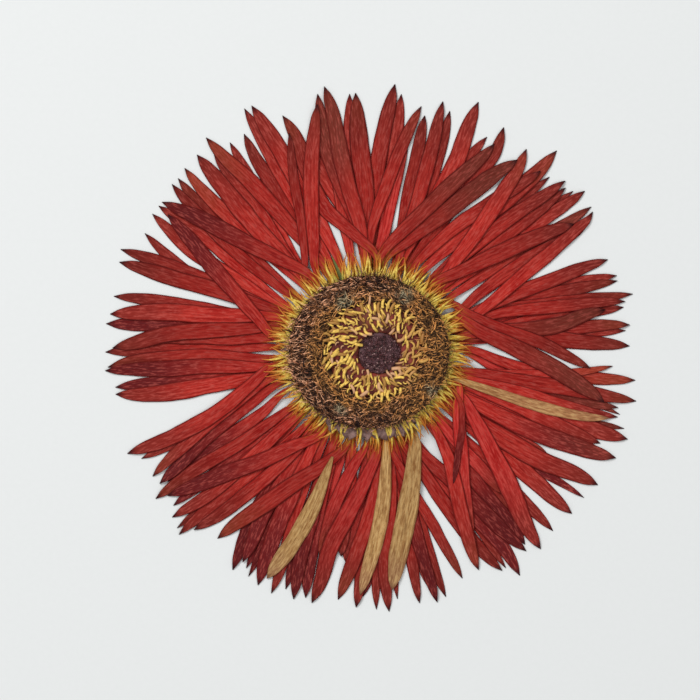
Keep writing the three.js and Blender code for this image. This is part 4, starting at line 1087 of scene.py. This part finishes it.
class GERBERA_OT_bracts(Operator):
    """Lay the two rows of bracts of the underside, and finish the receptacle and the stem's scar"""

    bl_idname = "gerbera.bracts"
    bl_label = "Bracts"

    def bract(self, rng, turn, reach_mm, foot_mm, width, level, peeks):
        """One pointed bract as a closed shell. One that peeks out between the blades is longer and green."""
        rows, columns = 16, 9
        azimuth = math.radians(turn + rng.uniform(-3, 3))
        reach = reach_mm * MM * (1 + rng.uniform(-0.05, 0.03))
        if peeks:
            reach += PEEK
        s, v = np.linspace(0, 1, rows), np.linspace(-1, 1, columns)
        angle = azimuth + rng.uniform(-0.1, 0.1) * (1 - s) ** 2
        radius = reach + (foot_mm * MM - reach) * s
        line = CENTRE + np.column_stack([np.cos(angle), np.sin(angle)]) * radius[:, None]
        half = through([0, 0.12, 0.35, 0.7, 1], np.array([0.05, 0.42, 0.85, 1, 0.7]) * width / 2, s)
        half = np.maximum(half * (1 + 0.05 * wander(rng, 1, rows, 6)), 0.04 * MM)
        offset = half[:, None] * v[None, :]
        plan = line[:, None] + directions(line)[:, None] * offset[..., None]
        under = level + 0.10 * MM * (v[None, :] ** 2) * (s[:, None] > 0)
        keel = 0.06 * MM * np.exp(-(v / 0.2) ** 2)[None, :]
        over = under + (0.15 * MM + keel) * (0.4 + 0.6 * s[:, None])
        points, quads = shell(plan, under, over)
        return points, quads, {
            **shell_marks(0.3 + 0.7 * s if peeks else s, v),
            "tone": np.full(len(points), 0.0 if peeks else rng.uniform(0.15, 1)),
            "run_mm": np.tile(np.repeat(s * (reach - foot_mm * MM) / MM, columns), 2),
            "side_mm": np.tile((offset / MM).reshape(-1), 2),
        }

    def row(self, name, node, count, reach_mm, foot_mm, width, step, turn, seed, peeking=()):
        """One row of bracts, every other one a step higher. Those at the peeking azimuths show from above."""
        rng = np.random.default_rng(seed)
        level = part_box(node)[0].z
        bracts = []
        for i in range(count):
            place = turn + i * 360 / count
            peeks = any(abs(place - azimuth) <= 180 / count for azimuth in peeking)
            bracts.append(self.bract(rng, place, reach_mm, foot_mm, width, level + step * (i % 2), peeks))
        return joined_shells(name, bracts)

    def execute(self, context):
        settings = context.scene.gerbera_bracts
        leafy = bract_material(settings)
        outer = self.row("outer_bract_leaves", "outer_bracts", count=24, reach_mm=16.2, foot_mm=2.4,
                         width=settings.width, step=0.06 * MM, turn=6, seed=5)
        keep(outer, leafy, "outer_bracts")
        inner = self.row("inner_bract_leaves", "inner_bracts", count=30, reach_mm=18.6, foot_mm=6.0,
                         width=settings.width, step=0.08 * MM, turn=0, seed=8, peeking=(54, 110, 305))
        keep(inner, leafy, "inner_bracts")
        for node, dark, light in (("receptacle", (0.05, 0.045, 0.016), (0.13, 0.12, 0.045)),
                                  ("stem_scar", (0.13, 0.08, 0.035), (0.30, 0.21, 0.10))):
            cad = frame["nodes"][node]
            cad.data.materials.clear()
            cad.data.materials.append(wood_material(f"dried {node.replace('_', ' ')}", dark, light))
        return {"FINISHED"}


class GERBERA_OT_claw_fringe(Operator):
    """Grow the narrow golden florets that stand out from under the disc, and the papery scales"""

    bl_idname = "gerbera.claw_fringe"
    bl_label = "Golden fringe"

    def needles(self, settings, material):
        """Needles on a sloping ring, grown by geometry nodes."""
        def shapes(tree):
            return [thread(tree, (0, 0, 0), (0.5, bend, 0.10), (1, bend * -0.6, -0.05), steps=6, thickness=0.046,
                           flatness=0.5, sides=5, tip_share=0.25) for bend in (0.0, 0.07, -0.09, 0.16)]
        tree = scattered_tree("golden fringe", shapes, tilt=(0.10, 0.24), spread=0.42)
        carrier = annulus("fringe carrier", FRINGE_INNER_MM * MM, FRINGE_OUTER_MM * MM, CENTRE, CENTRE,
                          CROWN_Z - 0.05 * MM, CROWN_Z - 0.3 * MM)
        area = math.pi * (FRINGE_OUTER_MM**2 - FRINGE_INNER_MM**2) * MM**2
        return grow("golden_fringe", carrier, tree, {
            "Density": settings.needles / area * 1.25, "Spacing": 0.2 * MM, "Length": settings.needle_length,
            "Centre": (*CENTRE, 0.0), "Seed": 4, "Material": material})

    def scale(self, rng, azimuth, reach_mm, width_mm):
        """One crumpled papery scale as a closed shell, with a torn outer edge."""
        rows, columns = 12, 9
        s, v = np.linspace(0, 1, rows), np.linspace(-1, 1, columns)
        turn = math.radians(azimuth)
        out = np.array([math.cos(turn), math.sin(turn)])
        side = np.array([-out[1], out[0]])
        line = CENTRE + out * (reach_mm * MM + (SCALE_FOOT_MM - reach_mm) * MM * s)[:, None]
        line = line + side * (rng.uniform(-0.5, 0.5) * MM * (1 - s) ** 2)[:, None]
        half = width_mm * MM / 2 * through([0, 0.08, 0.22, 0.5, 1], np.array([0.12, 0.55, 0.85, 1, 1]), s)
        edges = [half * (1 + 0.3 * wander(rng, 1, rows, 5)) for _ in range(2)]
        offset = np.where(v[None, :] < 0, edges[0][:, None], edges[1][:, None]) * v[None, :]
        notch = 0.8 * MM * wander(rng, 1, columns, 4)[None, :] * (1 - s[:, None])
        plan = line[:, None] + side * offset[..., None] + out * notch[..., None]
        under = CROWN_Z - 0.42 * MM + 0.32 * MM * s[:, None]
        under = under + 0.14 * MM * np.cos(v * 5 + rng.uniform(0, 6))[None, :]
        return *shell(plan, under, under + 0.05 * MM), shell_marks(s, v)

    def execute(self, context):
        settings = context.scene.gerbera_disc
        material = needle_material()
        keep(self.needles(settings, material), material, "claw_fringe")
        rng = np.random.default_rng(12)
        scales = joined_shells("papery_scales", [self.scale(rng, *scale) for scale in SCALES])
        keep(scales, scale_material(), "claw_fringe")
        return {"FINISHED"}


class GERBERA_OT_pappus_ring(Operator):
    """Model the dark ring and grow its bristles"""

    bl_idname = "gerbera.pappus_ring"
    bl_label = "Bristle ring"

    def execute(self, context):
        settings = context.scene.gerbera_disc
        top, base = RING_TOP - 0.35 * MM, CROWN_Z
        inner, outer = ANTHER_RADIUS + 0.1 * MM, RING_RADIUS
        profile = [(inner, base), (inner, top - 0.3 * MM), (inner + 1 * MM, top - 0.1 * MM), (12.5 * MM, top),
                   (13.6 * MM, top), (14.8 * MM, top - 0.05 * MM), (15.8 * MM, top - 0.2 * MM),
                   (outer - 0.5 * MM, top - 0.5 * MM), (outer - 0.15 * MM, base + 0.5 * MM),
                   (outer - 0.4 * MM, base + 0.15 * MM), (15.0 * MM, base)]
        body = turned_ring("pappus_cushion", profile[::-1], ANTHER_CENTRE, CENTRE, around=160, bump=0.22 * MM,
                           seed=3, oval=RING_OVAL)
        keep(body, cushion_material("ring tissue", (0.018, 0.006, 0.004), (0.090, 0.034, 0.014),
                                              (0.085, 0.044, 0.016)), "pappus_ring")

        def curls(tree):
            return [thread(tree, (0, 0, 0), (0.5, bend, 0.30), (1, end, 0.05), steps=5, thickness=0.050,
                           flatness=1.0, sides=3, tip_share=0.35)
                    for bend, end in ((0.35, -0.1), (-0.4, 0.15), (0.15, 0.35), (-0.15, -0.45))]

        area = math.pi * (outer**2 - inner**2)
        olive = (0.50, 0.225, 0.060)
        # name, seed, number, share of the bristle length, dark and pale colour, how light they get, how they lie
        kinds = (
            ("dark_bristles", 21, settings.bristles, 0.95, tuple(settings.umber), (0.60, 0.230, 0.080),
             {"light_from": 0.88, "most": 0.50}, {"tilt": (-0.55, 0.2), "spread": 1.5}),
            ("pale_bristles", 22, settings.bristles * 0.50, 1.0, (0.50, 0.180, 0.090), tuple(settings.fawn),
             {"light_from": 0.38, "most": 1.0},
             {"tilt": (-0.25, 0.12), "spread": 0.55, "radial": 0.0, "turned": math.pi, "swing": (-0.47, 0.0)}),
        )
        for name, seed, count, reach, dark, pale, light, lie in kinds:
            carrier = annulus(name + " carrier", inner + 0.2 * MM, outer - 0.2 * MM, ANTHER_CENTRE, CENTRE,
                              top - 0.1 * MM, top - 0.45 * MM, bulge=0.28 * MM)
            material = bristle_material(name.replace("_", " "), dark, pale, olive, **light)
            hairs = grow(name, carrier, scattered_tree(name, curls, **lie), {
                "Density": count / area * 1.15, "Spacing": 0.04 * MM, "Length": settings.bristle_length * reach,
                "Centre": (*CENTRE, 0.0), "Seed": seed, "Material": material})
            keep(hairs, material, "pappus_ring")
        return {"FINISHED"}


class GERBERA_OT_anther_crown(Operator):
    """Model the dark red bed and grow the curled golden anthers on it"""

    bl_idname = "gerbera.anther_crown"
    bl_label = "Anther crown"

    def execute(self, context):
        settings = context.scene.gerbera_disc
        inner, outer, base = EYE_RADIUS + 0.1 * MM, ANTHER_RADIUS, CROWN_Z
        top = ANTHER_TOP - 0.75 * MM
        profile = [(inner, base), (inner, top - 0.5 * MM), (inner + 0.7 * MM, top - 0.15 * MM), (6.6 * MM, top),
                   (8.4 * MM, top - 0.02 * MM), (outer - 0.5 * MM, top - 0.2 * MM), (outer, top - 0.5 * MM),
                   (outer, base)]
        bed = turned_ring("anther_bed", profile[::-1], EYE_CENTRE, ANTHER_CENTRE, around=120, bump=0.25 * MM,
                          seed=7)
        keep(bed, cushion_material("anther bed", (0.070, 0.009, 0.007), (0.30, 0.045, 0.030),
                                              (0.15, 0.070, 0.026)), "anther_ring")

        def straps(tree):
            return [thread(tree, (-0.5, 0, 0), (0.0, bend, 0.35), (0.5, end, 0.06), steps=7, thickness=thick,
                           flatness=0.45, sides=5, tip_share=0.8)
                    for bend, end, thick in ((0.12, 0.0, 0.16), (-0.22, 0.1, 0.14), (0.45, -0.15, 0.15),
                                             (-0.12, -0.25, 0.19), (0.2, 0.35, 0.13), (-0.5, 0.2, 0.17))]

        carrier = annulus("anther carrier", inner + 0.4 * MM, outer + 0.9 * MM, EYE_CENTRE, ANTHER_CENTRE,
                          top - 0.05 * MM, RING_TOP - 0.3 * MM)
        area = math.pi * (outer**2 - inner**2)
        tree = scattered_tree("anther crown", straps, tilt=(-0.35, 0.35), spread=0.72, turned=0.44,
                              swing=(0.0, 0.44))
        material = anther_material(settings)
        crown = grow("anthers", carrier, tree, {
            "Density": settings.anthers / area * 2.4, "Spacing": 0.66 * MM, "Length": settings.anther_length,
            "Centre": (*EYE_CENTRE, 0.0), "Seed": 11, "Material": material})
        keep(crown, material, "anther_ring")
        return {"FINISHED"}


class GERBERA_OT_eye(Operator):
    """Set the unopened buds of the eye in spirals on their dome"""

    bl_idname = "gerbera.eye"
    bl_label = "Eye"

    def execute(self, context):
        settings = context.scene.gerbera_disc
        top, base, radius = EYE_TOP - 0.3 * MM, CROWN_Z, EYE_RADIUS
        share = np.linspace(1, 0.02, 12)
        profile = [(0.02 * radius, base), (radius, base)]
        profile += [(radius * s, top - 0.55 * MM * s**2) for s in share]
        dome = turned_ring("eye_dome", profile, EYE_CENTRE, EYE_CENTRE, around=60, bump=0.06 * MM, seed=9)
        material = bud_material(settings)
        keep(dome, material, "eye")

        tree, start, end = node_tree("eye buds", [("Count", "Int"), ("Radius", "Float"), ("Top", "Float"),
                                                  ("Fall", "Float"), ("Size", "Float"), ("Centre", "Vector"),
                                                  ("Material", "Material")])
        points = put(tree, "GeometryNodePoints", None, {"Count": start.outputs["Count"]}).outputs[0]
        index = put(tree, "GeometryNodeInputIndex").outputs[0]
        turn = times(tree, index, GOLDEN_ANGLE)
        part = math_node(tree, "SQRT", math_node(tree, "DIVIDE", index, start.outputs["Count"]))
        reach = times(tree, part, start.outputs["Radius"])
        for lobes, shift, share in ((2, 0.6, 0.06), (3, 1.0, 0.06), (5, 2.2, 0.05)):
            lobe = math_node(tree, "SINE", plus(tree, times(tree, turn, lobes), shift))
            reach = times(tree, reach, plus(tree, 1.0, times(tree, lobe, share)))
        x = times(tree, reach, math_node(tree, "COSINE", turn))
        y = times(tree, reach, math_node(tree, "SINE", turn))
        fall = times(tree, math_node(tree, "POWER", part, 2.0), start.outputs["Fall"])
        place = vector_of(tree, x, y, minus(tree, start.outputs["Top"], fall))
        place = vector_sum(tree, place, start.outputs["Centre"])
        jitter = random_value(tree, (-0.1 * MM,) * 3, (0.1 * MM,) * 3, 41, vector=True)
        place = vector_sum(tree, place, jitter)
        points = put(tree, "GeometryNodeSetPosition", None, {"Geometry": points, "Position": place}).outputs[0]
        bud = put(tree, "GeometryNodeMeshIcoSphere", None, {"Radius": 1.0, "Subdivisions": 2}).outputs[0]
        bud = put(tree, "GeometryNodeTransform", None, {"Geometry": bud, "Scale": (1.0, 0.9, 1.5)}).outputs[0]
        bud = put(tree, "GeometryNodeGeometryToInstance", None, {0: bud}).outputs[0]
        lean = random_value(tree, (-0.5, -0.5, 0), (0.5, 0.5, 6.3), 43, vector=True)
        size = times(tree, start.outputs["Size"], random_value(tree, 0.65, 1.4, 47))
        plant(tree, start, end, points, [bud], lean, size)
        carrier = new_object("eye carrier", [(0, 0, 0)], [])
        buds = grow("eye_buds", carrier, tree, {
            "Count": settings.buds, "Radius": radius - 0.1 * MM, "Top": top + 0.02 * MM, "Fall": 0.5 * MM,
            "Size": 0.165 * MM, "Centre": (*EYE_CENTRE, 0.0), "Material": material})
        keep(buds, material, "eye")
        return {"FINISHED"}


class GERBERA_OT_stage(Operator):
    """Lay the pale floor, and set the soft light and the camera that looks straight down"""

    bl_idname = "gerbera.stage"
    bl_label = "Stage"

    def area_light(self, name, place, size, power):
        """Square soft light turned to the flower."""
        lamp = bpy.data.lights.new(name, "AREA")
        lamp.size, lamp.energy = size, power
        light = bpy.data.objects.new(name, lamp)
        light.location = place
        toward = np.negative(place)
        fall = math.atan2(math.hypot(toward[0], toward[1]), -toward[2])
        light.rotation_euler = (fall, 0, math.atan2(toward[1], toward[0]) - math.pi / 2)
        bpy.context.scene.collection.objects.link(light)

    def execute(self, context):
        scene = context.scene
        settings = scene.gerbera_stage
        corners = [(x * FLOOR_HALF, y * FLOOR_HALF, FLOOR_Z) for x, y in ((-1, -1), (1, -1), (1, 1), (-1, 1))]
        floor = new_object("floor", corners, [(0, 1, 2, 3)], smooth=False)
        floor.data.materials.append(floor_material(settings))

        world = bpy.data.worlds.new("soft room")
        world.use_nodes = True
        background = world.node_tree.nodes["Background"]
        background.inputs["Color"].default_value = ROOM_COLOUR
        background.inputs["Strength"].default_value = ROOM_STRENGTH
        scene.world = world
        self.area_light("main light", place=(-0.55, 0.55, 0.9), size=0.55, power=settings.light)
        self.area_light("fill light", place=(0.6, -0.3, 1.0), size=0.8, power=settings.light * 0.25)
        scene.view_settings.view_transform = "Standard"

        camera = bpy.data.objects.new("camera", bpy.data.cameras.new("camera"))
        camera.data.sensor_width = SENSOR_MM
        camera.data.lens = SENSOR_MM * settings.view_height / settings.view_width
        camera.data.clip_start, camera.data.clip_end = 0.01, 20.0
        camera.location = (CENTRE[0] + CAMERA_OFFSET[0], CENTRE[1] + CAMERA_OFFSET[1], settings.view_height)
        scene.collection.objects.link(camera)
        scene.camera = camera
        return {"FINISHED"}


class GERBERA_PT_panel(Panel):
    """Lists the pieces of the flower"""

    bl_idname = "GERBERA_PT_panel"
    bl_label = "Pressed gerbera"
    bl_space_type = "VIEW_3D"
    bl_region_type = "UI"
    bl_category = "Gerbera"

    def draw(self, context):
        layout = self.layout
        for operator in OPERATORS:
            layout.operator(operator.bl_idname)
        for group in GROUPS:
            settings = getattr(context.scene, group)
            box = layout.box()
            for key in settings.bl_rna.properties.keys():
                if key not in ("rna_type", "name"):
                    box.prop(settings, key)


OPERATORS = (GERBERA_OT_stage, GERBERA_OT_ray_florets, GERBERA_OT_bracts, GERBERA_OT_claw_fringe,
             GERBERA_OT_pappus_ring, GERBERA_OT_anther_crown, GERBERA_OT_eye)
GROUPS = {
    "gerbera_florets": GERBERA_PG_florets,
    "gerbera_disc": GERBERA_PG_disc,
    "gerbera_bracts": GERBERA_PG_bracts,
    "gerbera_stage": GERBERA_PG_stage,
}


def register():
    """Registers the settings, the operators and the panel."""
    for group in GROUPS.values():
        bpy.utils.register_class(group)
    for operator in OPERATORS:
        bpy.utils.register_class(operator)
    bpy.utils.register_class(GERBERA_PT_panel)
    for name, group in GROUPS.items():
        setattr(bpy.types.Scene, name, PointerProperty(type=group))


def unregister():
    """Takes them all away again."""
    for name in GROUPS:
        delattr(bpy.types.Scene, name)
    bpy.utils.unregister_class(GERBERA_PT_panel)
    for operator in reversed(OPERATORS):
        bpy.utils.unregister_class(operator)
    for group in reversed(list(GROUPS.values())):
        bpy.utils.unregister_class(group)


def main():
    """Builds the whole flower and its stage."""
    register()
    bpy.ops.gerbera.stage()
    bpy.ops.gerbera.ray_florets()
    bpy.ops.gerbera.bracts()
    bpy.ops.gerbera.claw_fringe()
    bpy.ops.gerbera.pappus_ring()
    bpy.ops.gerbera.anther_crown()
    bpy.ops.gerbera.eye()


if __name__ == "__main__":
    main()
